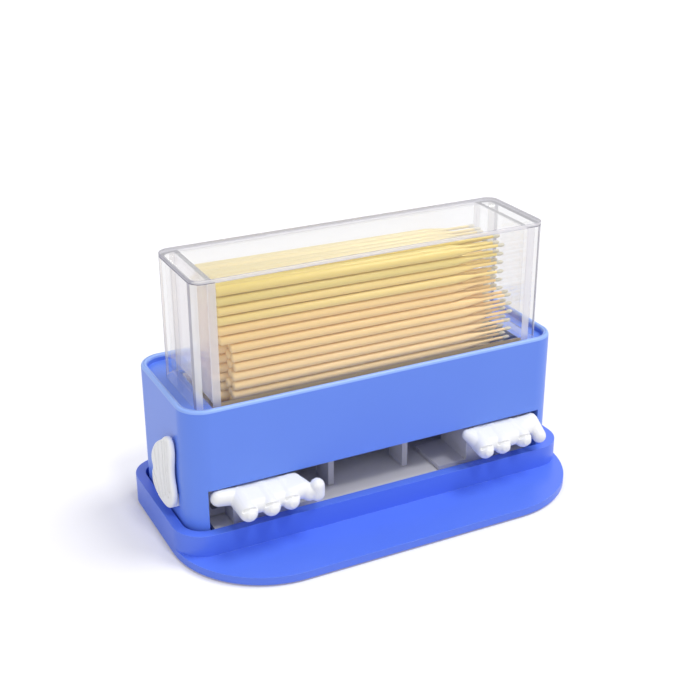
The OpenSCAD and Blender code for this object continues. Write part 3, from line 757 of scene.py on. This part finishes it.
cuts = [
    ((-slot_half, body_low.y - PAST, slot_low_z), (slot_half, body_low.y + BODY_WALL + PAST, slot_high_z)),
    ((-chamber_half - PARTITION_T - DECK_PLAY, chamber_low_y - DECK_PLAY, deck_z - DECK_T - PAST),
     (chamber_half + PARTITION_T + DECK_PLAY, chamber_high_y + DECK_PLAY, deck_z + PAST)),
]
for side in (-1, 1):
    ends = sorted((side * (body_high.x - BODY_WALL - PAST), side * (body_high.x + PAST)))
    cuts.append(((ends[0], stem_y - STEM_W / 2 - STEM_ROOM, stem_z - STEM_H / 2 - STEM_ROOM),
                 (ends[1], stem_y + STEM_W / 2 + TRAVEL + STEM_ROOM, stem_z + STEM_H / 2 + STEM_ROOM)))
for low, high in cuts:
    combine(body_shell, add_block("cutter", low, high), "DIFFERENCE")
tidy_mesh(body_shell)
soften(body_shell, CUT_EDGE, segments=2, angle=CUT_TURN)

chute_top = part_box("feed_chute")[1].z
for screws, low_z, high_z, radius in (
    ("body_screws", body_low.z, body_low.z + BOSS_H, BOSS_R),
    ("chute_screws", chute_top, deck_z - DECK_T / 2, POST_R),
):
    bore_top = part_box(screws)[1].z + PAST / 2
    for x, y in corner_spots(screws, HEAD_R):
        combine(body_shell, add_drum("post", x, y, low_z, high_z, radius), "UNION")
        bore = add_drum("bore", x, y, low_z - PAST, bore_top, SHANK_R + SCREW_PLAY)
        combine(body_shell, bore, "DIFFERENCE")
shade(body_shell)
finish_piece(body_shell, "housing", "blue_body", body_blue, "body_shell")

# %% [markdown]
# ## Clear box
# The box has a brush chamber between two partitions, an empty pocket at each end, and a funnel below the
# deck. It is cut from a rounded block. On clear plastic the edges are nearly all that is seen, so light and
# shade are painted on: grey painted shade on the small bevels, the partitions' strips, the rim's top and
# one band of each round corner, darker on the rim's top at the ends, a white painted highlight on the next
# band, a white painted sheen on the left partition's side, the brushes' tan as a painted reflection on the
# funnel's slopes and as painted light on the walls' lowest strip. Where such a painted finish begins in the
# middle of a wall, a straight cut parts the wall there.

# %% Clear box
HOPPER_R = 4 * MM
FUNNEL_RISE = 1 * MM
FUNNEL_T = 1.6 * MM
CHANNEL_W = 3.9 * MM
CLEAR_EDGE = 0.2 * MM
BAND_TURNS = (0.1, 23)
GLINT_TURNS = (23, 57)
CUT_GAP = 0.02 * MM
JOINT_SPREAD = 1 * MM
FOOT_H = 2.2 * MM
SEAT_GAP = 0.04 * MM
CORNER_STEPS = 8
POCKET_STEPS = 6
SLOPE_TURNS = (0.1, 0.95)

brush_low, brush_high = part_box("queued_brushes")
chute_y = (brush_low.y + brush_high.y) / 2
funnel_z = deck_z + FUNNEL_RISE


def add_wedge(name, half, wall, top_z):
    """A block along X whose underside narrows to the outlet."""
    wedge = add_block(name, (-half, chamber_low_y - wall, hopper_low.z),
                      (half, chamber_high_y + wall, top_z))
    for edge_y, outlet_y in (
        (chamber_low_y - wall, chute_y - CHANNEL_W / 2 - wall),
        (chamber_high_y + wall, chute_y + CHANNEL_W / 2 + wall),
    ):
        pick(wedge, "edges", lambda edge: (middle(edge) - Vector((0, edge_y, hopper_low.z))).length < NEAR)
        bpy.ops.transform.translate(value=(0, outlet_y - edge_y, 0))
        done()
    return wedge


hopper = add_block("hopper_clear", (hopper_low.x, hopper_low.y, deck_z + SEAT_GAP), hopper_high)
round_uprights(hopper, HOPPER_R, CORNER_STEPS)
funnel = add_wedge("funnel", chamber_half + PARTITION_T, 0, funnel_z)
combine(hopper, funnel, "UNION")
chamber = add_block("chamber", (-chamber_half, chamber_low_y, funnel_z),
                    (chamber_half, chamber_high_y, hopper_high.z + PAST))
combine(hopper, chamber, "DIFFERENCE")
inside = add_wedge("inside", chamber_half, -FUNNEL_T / 2, funnel_z + PAST / 4)
pick_level(inside, hopper_low.z)
push(z=-PAST)
done()
combine(hopper, inside, "DIFFERENCE")
for side in (-1, 1):
    ends = sorted((side * (chamber_half + PARTITION_T), side * (hopper_high.x - HOPPER_WALL)))
    pocket = add_block("pocket", (ends[0], chamber_low_y, deck_z + FUNNEL_T),
                       (ends[1], chamber_high_y, hopper_high.z + PAST))
    round_uprights(pocket, HOPPER_R - HOPPER_WALL, POCKET_STEPS,
                   lambda edge: abs(middle(edge).x) > hopper_high.x - 2 * HOPPER_WALL)
    combine(hopper, pocket, "DIFFERENCE")
tidy_mesh(hopper)


def set_clear(piece, *finishes):
    """Finishes in order, with the edge finish, a grey painted shade, second, so that a bevel can ask for
    it.
    """
    for name in finishes:
        piece.data.materials.append(clear[name])


def in_band(face, turns):
    """Whether a face of a round outer corner is turned from the box's end by an angle within a band."""
    outside = face.normal.dot(face.calc_center_median()) > 0
    turn = math.degrees(math.atan2(abs(face.normal.y), abs(face.normal.x)))
    return outside and turns[0] < turn < turns[1] and abs(face.normal.z) < HARDLY


def is_rim_top(face, over_brushes):
    """The rim's top: over the brushes it is seen across its thickness, and at the ends along it."""
    spot = face.calc_center_median()
    on_top = face.normal.z > MOSTLY and abs(spot.z - hopper_high.z) < NEAR
    return on_top and (abs(spot.x) < chamber_half) == over_brushes


def is_panel(face):
    """The left partition's side in its pocket, which the brushes' thick ends lie against."""
    spot = face.calc_center_median()
    return abs(face.normal.x) > MOSTLY and abs(spot.x + chamber_half + PARTITION_T) < NEAR


def is_foot(face):
    """The lowest strip of the front and back wall, over the thick floor of the box."""
    spot = face.calc_center_median()
    outside = min(spot.y - hopper_low.y, hopper_high.y - spot.y) < NEAR
    return outside and abs(spot.x) < chamber_half and spot.z < deck_z + FOOT_H


def is_slope(face):
    """The funnel's slopes."""
    steep = SLOPE_TURNS[0] < abs(face.normal.z) < SLOPE_TURNS[1]
    return steep and abs(face.normal.y) > HARDLY and face.calc_center_median().z < funnel_z


def is_joint(face):
    """The strips of the front and back wall behind which a partition stands."""
    spot = face.calc_center_median()
    behind = chamber_half < abs(spot.x) < chamber_half + PARTITION_T + JOINT_SPREAD
    on_wall = spot.y < chamber_low_y - NEAR or spot.y > chamber_high_y + NEAR
    return abs(face.normal.y) > MOSTLY and behind and on_wall and spot.z > funnel_z


def give_finish(piece, index, test):
    """Give the faces that pass a test one of the piece's finishes."""
    pick(piece, "faces", test)
    piece.active_material_index = index
    bpy.ops.object.material_slot_assign()
    done()


set_clear(hopper, "clear_hopper", "clear_edge_shade", "clear_glint", "clear_rim_shade", "clear_panel_sheen", "clear_joint_shade",
          "clear_funnel_reflection", "clear_foot_painted_light")
soften(hopper, CLEAR_EDGE, segments=2, angle=CUT_TURN, material=1)
for side in (-1, 1):
    for x in (chamber_half - CUT_GAP, chamber_half + PARTITION_T + JOINT_SPREAD):
        pick(hopper, "faces", every)
        bpy.ops.mesh.bisect(plane_co=(side * x, 0, 0), plane_no=(1, 0, 0))
        done()
pick(hopper, "faces", every)
bpy.ops.mesh.bisect(plane_co=(0, 0, deck_z + FOOT_H), plane_no=(0, 0, 1))
done()
for index, test in (
    # Grey painted shade on the first band of each round corner
    (1, lambda face: in_band(face, BAND_TURNS)),
    # A white painted highlight on the next band of each round corner
    (2, lambda face: in_band(face, GLINT_TURNS)),
    # Dark painted shade on the rim's top at the ends
    (3, lambda face: is_rim_top(face, False)),
    # A white painted sheen on the left partition's side in its pocket
    (4, is_panel),
    # Grey painted shade on the strips in front of the partitions and on the rim's top over the brushes
    (5, lambda face: is_joint(face) or is_rim_top(face, True)),
    # The brushes' tan on the funnel's slopes, a painted reflection
    (6, is_slope),
    # A tan veil on the lowest strip of the walls, painted light over the shade under the heap
    (7, is_foot),
):
    give_finish(hopper, index, test)
shade(hopper)
finish_piece(hopper, "housing", "clear_hopper", clear["clear_hopper"], "hopper")

# %% [markdown]
# ## Lid
# A thin clear plate with the box's rounded outline. Two short lips below it drop into the end pockets and
# hold it in place. The plate is kept a hair above the walls, since two clear faces in one plane would
# flicker. Its faint white haze is a painted sheen, its sides get grey painted shade, and the front one a
# paler painted shade.

# %% Lid
LID_PLAY = 0.3 * MM
LID_EDGE = 0.35 * MM
LID_FRONT_TURN = 0.6

lid_low, lid_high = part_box("hopper_lid")
lid = add_block("hopper_lid_clear", (lid_low.x, lid_low.y, hopper_high.z + SEAT_GAP), lid_high)
round_uprights(lid, HOPPER_R, CORNER_STEPS)
set_clear(lid, "clear_lid", "clear_edge_shade", "clear_joint_shade")
soften(lid, LID_EDGE, segments=2, angle=CUT_TURN, material=1)
# Grey painted shade on the sides, and a paler painted shade on the front one.
give_finish(lid, 1, lambda face: abs(face.normal.z) < HARDLY)
give_finish(lid, 2, lambda face: face.normal.y < -LID_FRONT_TURN)
for side in (-1, 1):
    ends = sorted((side * (chamber_half + PARTITION_T + LID_PLAY),
                   side * (hopper_high.x - HOPPER_WALL - LID_PLAY)))
    lip = add_block("lip", (ends[0], chamber_low_y + HOPPER_R, lid_low.z),
                    (ends[1], chamber_high_y - HOPPER_R, hopper_high.z + 2 * SEAT_GAP))
    combine(lid, lip, "UNION")
shade(lid)
finish_piece(lid, "lid", "clear_lid", clear["clear_lid"], "hopper_lid")

# %% [markdown]
# ## Brushes
# Each brush is a slim stick: a thick handle, a taper, a thin neck and a flocked tip. It is modelled once,
# from a cylinder whose rings are scaled, and copied to the place of every brush of the solid heap. The
# copies roll and slide a little by seeded chance, because a heap is never perfectly combed.

# %% One brush
BRUSH_LEN = 98.5 * MM
BRUSH_R = 1.475 * MM
NECK_LEN = 8 * MM
TAPER_LEN = 8 * MM
NECK_R = 0.5 * MM
TIP_R = 0.62 * MM
TIP_LEN = 2.6 * MM
BRUSH_SIDES = 12
BRUSH_TURN = math.radians(50)
END_ROUND = 0.4 * MM
BUD_RINGS = ((0, 0.6), (0.25, 1), (0.75, 1), (1, 0.45))


def add_stick(name, start, stop, rings):
    """A closed stick along X with a radius at each of its rings, given as (x, radius)."""
    bpy.ops.object.select_all(action="DESELECT")
    bpy.ops.mesh.primitive_cylinder_add(
        vertices=BRUSH_SIDES, radius=1, depth=stop - start,
        location=((start + stop) / 2, 0, 0), rotation=(0, math.pi / 2, 0))
    stick = bpy.context.object
    stick.name = name
    apply_place()
    for x, _ in rings[1:-1]:
        pick(stick, "verts", every)
        bpy.ops.mesh.bisect(plane_co=(x, 0, 0), plane_no=(1, 0, 0))
        done()
    for x, radius in rings:
        pick(stick, "verts", lambda vert: abs(vert.co.x - x) < NEAR)
        bpy.ops.transform.resize(value=(1, radius, radius), center_override=(x, 0, 0))
        done()
    activate(stick)
    bpy.ops.object.shade_smooth_by_angle(angle=BRUSH_TURN)
    return stick


neck_end = BRUSH_LEN - TIP_LEN
stick = add_stick("stick", 0, neck_end, [
    (0, BRUSH_R - END_ROUND), (END_ROUND, BRUSH_R), (neck_end - NECK_LEN - TAPER_LEN, BRUSH_R),
    (neck_end - NECK_LEN, NECK_R), (neck_end, NECK_R),
])
bud = add_stick("bud", neck_end, BRUSH_LEN,
                [(neck_end + along * TIP_LEN, wide * TIP_R) for along, wide in BUD_RINGS])
print("one brush:", len(stick.data.polygons), "and", len(bud.data.polygons), "faces")

# %% [markdown]
# ## The heap
# The solid heap says where each brush lies. In front the brushes have settled a little, and the lower ones
# have slid away from the left wall, so the ends of those behind them show there.

# %% The heap
END_BAND = 0.2 * MM


def brush_axes(node):
    """Thick end and direction of every brush in a solid node, from its separate shells."""
    mesh = bmesh.new()
    mesh.from_mesh(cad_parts[node].data)
    bmesh.ops.remove_doubles(mesh, verts=mesh.verts, dist=NEAR / 10)
    waiting = set(mesh.verts)
    axes = []
    # The points are walked in the mesh's own order, so that chance treats the brushes alike in every run
    for start in mesh.verts:
        if start not in waiting:
            continue
        waiting.remove(start)
        shell = []
        front = [start]
        while front:
            vert = front.pop()
            shell.append(vert.co.copy())
            for edge in vert.link_edges:
                other = edge.other_vert(vert)
                if other in waiting:
                    waiting.remove(other)
                    front.append(other)
        first = min(co.x for co in shell)
        last = max(co.x for co in shell)
        ends = [[co for co in shell if abs(co.x - x) < END_BAND] for x in (first, last)]
        centres = [sum(end, Vector()) / len(end) for end in ends]
        axes.append((centres[0], (centres[1] - centres[0]).normalized()))
    mesh.free()
    return sorted(axes, key=lambda axis: (round(axis[0].z / MM, 2), round(axis[0].y / MM, 2)))


def heap_of(name, part, places, tints):
    """One object holding a copy of a part at every place."""
    copies = []
    for place, tint in zip(places, tints):
        copy = part.copy()
        copy.data = part.data.copy()
        copy.data.transform(place)
        numbers = copy.data.attributes.new(TINT, "FLOAT", "POINT")
        numbers.data.foreach_set("value", [tint] * len(copy.data.vertices))
        bpy.context.scene.collection.objects.link(copy)
        copies.append(copy)
    return join(name, copies)


CHANCE = random.Random(7)
SLIDE = 0.5 * MM
BACK_SLIDE = 2.8 * MM
SETTLE = 0.75 * MM
LOW_SLIDE = 4.4 * MM
LOW_SHARE = 0.85
LOW_ROWS_TOP = 67 * MM
LOW_COLUMNS = 5 * MM
WOBBLE = math.radians(0.18)

places = []
tints = []
for thick_end, direction in brush_axes("brush_handles"):
    in_front = thick_end.y < chamber_low_y + LOW_COLUMNS
    slide = (SLIDE if in_front else BACK_SLIDE) * CHANCE.random()
    if in_front and thick_end.z < LOW_ROWS_TOP:
        slide += LOW_SLIDE * CHANCE.uniform(LOW_SHARE, 1)
    aim = direction.to_track_quat("X", "Z").to_matrix().to_4x4()
    turn = Matrix.Rotation(CHANCE.uniform(0, math.pi), 4, "X")
    lean = Matrix.Rotation(CHANCE.uniform(-WOBBLE, WOBBLE), 4, "Z")
    drop = SETTLE if in_front else 0
    places.append(Matrix.Translation(thick_end + Vector((slide, 0, -drop))) @ aim @ lean @ turn)
    tints.append(CHANCE.random())

brush_handles = heap_of("brush_handles_heap", stick, places, tints)
brush_tips = heap_of("brush_tips_heap", bud, places, tints)
for part in (stick, bud):
    bpy.data.objects.remove(part)
finish_piece(brush_handles, "housing", "brush_handle", handle_yellow, "brush_handles")
finish_piece(brush_tips, "housing", "brush_tip", tip_flock, "brush_tips")
print("brushes in the heap:", len(places))

# %% [markdown]
# ## Return springs
# Each spring is a round wire wound in a helix round its rod. A small circle with a Screw modifier winds it
# in one go, at the full length of its solid. When the carriage slides back, the real spring is pressed
# together towards its rear seat; this one keeps its length.

# %% Return springs
WIRE_R = 0.25 * MM
WIRE_SIDES = 10
TURN_STEPS = 28
SPRING_TURNS = 5

for side in ("left", "right"):
    low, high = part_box(f"{side}_return_spring")
    axis_x = (low.x + high.x) / 2
    axis_z = (low.z + high.z) / 2
    mean_r = (high.z - low.z) / 2 - WIRE_R
    pitch = (high.y - low.y - 2 * WIRE_R) / SPRING_TURNS
    bpy.ops.object.select_all(action="DESELECT")
    bpy.ops.mesh.primitive_circle_add(
        vertices=WIRE_SIDES, radius=WIRE_R, location=(mean_r, 0, 0), rotation=(math.pi / 2, 0, 0))
    wire = bpy.context.object
    wire.name = f"{side}_return_spring_wire"
    apply_place()
    use(wire, "SCREW", axis="Z", screw_offset=pitch, iterations=SPRING_TURNS, steps=TURN_STEPS,
        render_steps=TURN_STEPS, use_merge_vertices=False)
    pick(wire, "edges", lambda edge: edge.is_boundary)
    bpy.ops.mesh.fill_holes(sides=0)
    bpy.ops.mesh.select_all(action="SELECT")
    bpy.ops.mesh.normals_make_consistent(inside=False)
    done()
    wire.rotation_euler = (-math.pi / 2, 0, 0)
    wire.location = (axis_x, low.y + WIRE_R, axis_z)
    activate(wire)
    apply_place()
    bpy.ops.object.shade_smooth()
    finish_piece(wire, "housing", "spring_steel", spring_steel, f"{side}_return_spring")
    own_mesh(wire)

# %% [markdown]
# ## Hands
# Two small white hands, palms down, reach out of the slot. A hand is blocked out as a sculptor would do it:
# each finger is the tight skin round a ball at its root and one at its tip, and a flatter slab fills the
# valley between two fingers. A voxel remesh melts the blocks into one skin, and smoothing takes out its
# steps.

# %% Blocks of a hand
BALL_SIDES = 24
SMOOTH_SHARE = 0.5


def add_ball(name, spot, radius, stretch=(1, 1, 1)):
    bpy.ops.object.select_all(action="DESELECT")
    bpy.ops.mesh.primitive_uv_sphere_add(
        segments=BALL_SIDES, ring_count=BALL_SIDES // 2, radius=radius, location=spot)
    ball = bpy.context.object
    ball.name = name
    ball.scale = stretch
    apply_place()
    return ball


def add_skin(name, balls):
    """The tight skin round balls that are given by their middles and radii."""
    skin = join(name, [add_ball(name, spot, radius) for spot, radius in balls])
    pick(skin, "verts", every)
    bpy.ops.mesh.convex_hull()
    done()
    return skin


def melt(piece, voxel, smoothing, keep):
    """One smooth skin over overlapping blocks, thinned to a share of its faces."""
    use(piece, "REMESH", mode="VOXEL", voxel_size=voxel)
    use(piece, "SMOOTH", factor=SMOOTH_SHARE, iterations=smoothing)
    use(piece, "DECIMATE", ratio=keep)
    activate(piece)
    bpy.ops.object.shade_smooth()


print("blocks for hands ready")

# %% [markdown]
# ## Fingers, thumb and nails
# The two hands differ: on the left the little finger is curled up beside the others and the thumb points
# along the slot, on the right the thumb bends down in front of it. Every joint is given by its place along
# the slot, its distances behind the hand's front and below its top, and its radius, in millimetres.

# %% Hands
ROOT_BACK = 10.1
ROOT_R = 3.6
FINGERTIP_UNDER = 4.9
FINGERTIP_R = 2.9
WEB_SHARE = 0.68
WEB_R = 2.7
WEB_SINK = 0.25
WRIST_BACK = (9.9, 13.7)
WRIST_UNDER = (0.4, 6.4)
CREASE_R = 0.54 * MM
CREASE_HALF = 2.0 * MM
CREASE_RISE = math.radians(46)
CREASE_CROSS = 0.75 * MM
NAIL_R = 1.6 * MM
NAIL_SINK = 0.2 * MM
NAIL_STRETCH = (1, 0.3, 0.85)
HAND_VOXEL = 0.18 * MM
HAND_SMOOTHING = 6
HAND_KEEP = 0.4
# For each straight finger: where its root and its tip are along the slot, and how far its tip stays behind
# the hand's front
FINGERS = {
    "left": ((50.0, 50.1, 0.2), (43.0, 42.7, 0.2), (36.4, 36.0, 0.9)),
    "right": ((48.2, 49.2, 1.6), (40.6, 40.5, 0.9), (34.5, 33.8, 0.7)),
}
# Chains of joints for thumbs and curled fingers, and slabs that fill the rest
CHAINS = {
    "left": (
        ((49.5, 10.4, 3.0, 2.8), (56.4, 11.3, 2.6, 2.65)),
        ((30.8, 6.4, 4.4, 2.5), (27.0, 4.8, 4.5, 2.2)),
        ((26.6, 4.7, 2.7, 2.35), (26.6, 4.7, 5.6, 2.35)),
        ((30.8, 6.4, 3.6, 2.8), (29.0, 5.6, 5.3, 2.4)),
    ),
    "right": (
        ((56.2, 10.7, 2.7, 2.65), (56.6, 5.6, 6.2, 2.4)),
    ),
}
SLABS = {
    "left": (
        ((36.4, 10.1, 3.3, 3.1), (33.4, 10.6, 3.3, 3.2), (31.7, 10.4, 1.6, 1.5), (36.1, 5.6, 4.0, 2.7),
         (30.8, 6.4, 3.6, 2.8), (29.7, 7.2, 2.9, 1.5)),
    ),
    "right": (
        ((31.1, 10.3, 2.0, 1.9), (34.5, 10.1, 3.5, 3.4), (34.0, 5.7, 4.4, 2.7)),
        ((48.2, 10.1, 3.4, 3.1), (56.2, 10.6, 2.7, 2.5), (49.0, 7.4, 3.8, 2.7), (56.2, 8.6, 3.6, 2.3)),
    ),
}


def add_finger(root_x, tip_x, short, ball_of):
    """A straight finger with two crossing creases and a nail at its tip."""
    tip, radius = ball_of(tip_x, FINGERTIP_R + short, FINGERTIP_UNDER, FINGERTIP_R)
    finger = add_skin("finger", [ball_of(root_x, ROOT_BACK, ROOT_R, ROOT_R), (tip, radius)])
    crease = tip + radius * Vector((0, -math.cos(CREASE_RISE), math.sin(CREASE_RISE)))
    for lean in (-CREASE_CROSS, CREASE_CROSS):
        half = Vector((CREASE_HALF, -lean, lean))
        groove = add_skin("crease", [(crease - half, CREASE_R), (crease + half, CREASE_R)])
        combine(finger, groove, "DIFFERENCE")
    nail = add_ball("nail", tip - Vector((0, radius - NAIL_SINK, 0)), NAIL_R, NAIL_STRETCH)
    return [finger, nail]


def add_web(first, second, ball_of):
    """A slab between two fingers, a little lower than they are and ending behind their tips."""
    balls = []
    for root_x, tip_x, short in (first, second):
        for share in (0, WEB_SHARE):
            along = root_x + share * (tip_x - root_x)
            back = ROOT_BACK + share * (FINGERTIP_R + short - ROOT_BACK)
            under = WEB_SINK + WEB_R + share * (FINGERTIP_UNDER - FINGERTIP_R)
            balls.append(ball_of(along, back, under, WEB_R))
    return add_skin("web", balls)


def add_hand(side):
    low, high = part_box(f"{side}_hand")
    out = -1 if side == "left" else 1

    def ball_of(along, back, under, radius):
        return Vector((out * along * MM, low.y + back * MM, high.z - under * MM)), radius * MM

    fingers = FINGERS[side]
    blocks = []
    for finger in fingers:
        blocks += add_finger(*finger, ball_of)
    for first, second in zip(fingers, fingers[1:]):
        blocks.append(add_web(first, second, ball_of))
    for joints in CHAINS[side]:
        balls = [ball_of(*joint) for joint in joints]
        blocks += [add_skin("rod", pair) for pair in zip(balls, balls[1:])]
    for joints in SLABS[side]:
        blocks.append(add_skin("slab", [ball_of(*joint) for joint in joints]))
    ends = sorted((out * fingers[0][0], out * fingers[-1][0]))
    blocks.append(add_block(
        "wrist", (ends[0] * MM, low.y + WRIST_BACK[0] * MM, high.z - WRIST_UNDER[1] * MM),
        (ends[1] * MM, low.y + WRIST_BACK[1] * MM, high.z - WRIST_UNDER[0] * MM)))
    hand = join(f"{side}_hand_moulded", blocks)
    melt(hand, HAND_VOXEL, HAND_SMOOTHING, HAND_KEEP)
    finish_piece(hand, "slider", "white_hand", hand_white, f"{side}_hand")


for side in ("left", "right"):
    add_hand(side)

# %% [markdown]
# ## Side grips
# The carriage is pushed back by two leaf-shaped grips outside the body. The leaf is drawn as a flat curve,
# thickened with a round edge, and melted together with the square stem that joins it to the carriage
# through the side slot. Fine grooves are then pressed into its outer face, by moving the points along each
# line inwards.

# %% Side grips
GRIP_T = 2 * MM
GRIP_EDGE = 0.8 * MM
GRIP_LEAN = math.radians(4.8)
GRIP_OFF = 0.4 * MM
GRIP_VOXEL = 0.18 * MM
GRIP_SMOOTHING = 3
GRIP_KEEP = 1.0
GROOVE_HALF = 0.36
GROOVE_DEPTH = 0.55 * MM
GROOVE_TURN = 0.8
# The leaf's outline and the lines of its grooves: mm behind the grip's front and mm above its foot
LEAF = (
    (0.1, 23.2), (1.8, 24.5), (6.6, 21.9), (12.8, 16.8), (15.0, 11.4), (14.3, 9.4), (15.4, 6.0),
    (14.0, 1.8), (8.6, -0.9), (2.6, -0.3), (-0.2, 3.5), (0.5, 12.0),
)
GROOVES = (
    ((1.5, 23.0), (1.8, 14.0), (1.6, 6.0)),
    ((3.2, 22.8), (3.5, 13.0), (3.0, 3.6)),
    ((5.2, 21.6), (5.5, 12.0), (5.0, 3.6)),
    ((8.2, 19.6), (8.3, 11.0), (7.2, 1.6)),
    ((11.2, 17.0), (10.8, 13.0), (10.6, 10.0)),
    ((14.4, 9.0), (11.6, 6.2), (9.4, 0.8)),
    ((15.0, 6.6), (13.0, 4.4), (11.4, 0.6)),
)


def add_outline(name, points):
    """A closed smooth flat curve through points given in millimetres."""
    curve = bpy.data.curves.new(name, "CURVE")
    spline = curve.splines.new("BEZIER")
    spline.bezier_points.add(len(points) - 1)
    spline.use_cyclic_u = True
    for knot, (across, up) in zip(spline.bezier_points, points):
        knot.co = (across * MM, up * MM, 0)
        knot.handle_left_type = "AUTO"
        knot.handle_right_type = "AUTO"
    drawn = bpy.data.objects.new(name, curve)
    bpy.context.scene.collection.objects.link(drawn)
    return drawn


def off_line(spot, points):
    """Distance of a flat place from a line through points."""
    gaps = []
    for first, last in zip(points, points[1:]):
        run = Vector(last) - Vector(first)
        share = min(max((spot - Vector(first)).dot(run) / run.length_squared, 0), 1)
        gaps.append((spot - Vector(first) - share * run).length)
    return min(gaps)


def add_grip(side):
    low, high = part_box(f"{side}_grip")
    out = -1 if side == "left" else 1
    leaf = add_outline("leaf", LEAF)
    leaf.data.dimensions = "2D"
    leaf.data.fill_mode = "BOTH"
    leaf.data.offset = -GRIP_EDGE
    leaf.data.extrude = GRIP_T / 2 - GRIP_EDGE
    leaf.data.bevel_depth = GRIP_EDGE
    leaf.data.bevel_resolution = 3
    activate(leaf)
    bpy.ops.object.convert(target="MESH")
    leaf.rotation_euler = (math.pi / 2, 0, math.pi / 2 - out * GRIP_LEAN)
    leaf.location = (out * (body_high.x + GRIP_OFF + GRIP_T / 2), low.y, low.z)
    apply_place()
    pick(leaf, "verts", every)
    bpy.ops.mesh.remove_doubles(threshold=MERGE)
    bpy.ops.mesh.normals_make_consistent(inside=False)
    done()
    ends = sorted((out * min(abs(low.x), abs(high.x)), out * (body_high.x + GRIP_OFF + GRIP_T / 2)))
    stem = add_block("stem", (ends[0], stem_y - STEM_W / 2, stem_z - STEM_H / 2),
                     (ends[1], stem_y + STEM_W / 2, stem_z + STEM_H / 2))
    grip = join(f"{side}_grip_moulded", [leaf, stem])
    melt(grip, GRIP_VOXEL, GRIP_SMOOTHING, GRIP_KEEP)

    def in_groove(vert):
        if out * vert.normal.x < GROOVE_TURN or abs(vert.co.x) < body_high.x + GRIP_OFF:
            return False
        spot = Vector(((vert.co.y - low.y) / MM, (vert.co.z - low.z) / MM))
        return any(off_line(spot, points) < GROOVE_HALF for points in GROOVES)

    pick(grip, "verts", in_groove)
    bpy.ops.transform.translate(value=(-out * GROOVE_DEPTH, 0, 0))
    done()
    finish_piece(grip, "slider", "white_grip", lit_grip_white, f"{side}_grip")


for side in ("left", "right"):
    add_grip(side)

# %% [markdown]
# ## Finishes on the solid parts
# The parts inside, the screws and the feet keep the shape of their solids and only need a finish.

# %% Finishes on the solid parts
SOLID_FINISHES = {
    "rubber_feet": foot_rubber,
    "body_screws": screw_steel,
    "floor_screws": screw_steel,
    "chute_screws": screw_steel,
    "spring_washers": screw_steel,
    "left_guide_rod": rod_steel,
    "right_guide_rod": rod_steel,
    "floor_tray": floor_white,
    # The chute and carriage get the darker white, painted shade inside the body.
    "feed_chute": shaded_inner_white,
    "carriage": shaded_inner_white,
    "queued_brushes": handle_yellow,
}
for node, material in SOLID_FINISHES.items():
    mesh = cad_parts[node].data
    mesh.materials.clear()
    mesh.materials.append(material)
print("solid parts finished:", len(SOLID_FINISHES))
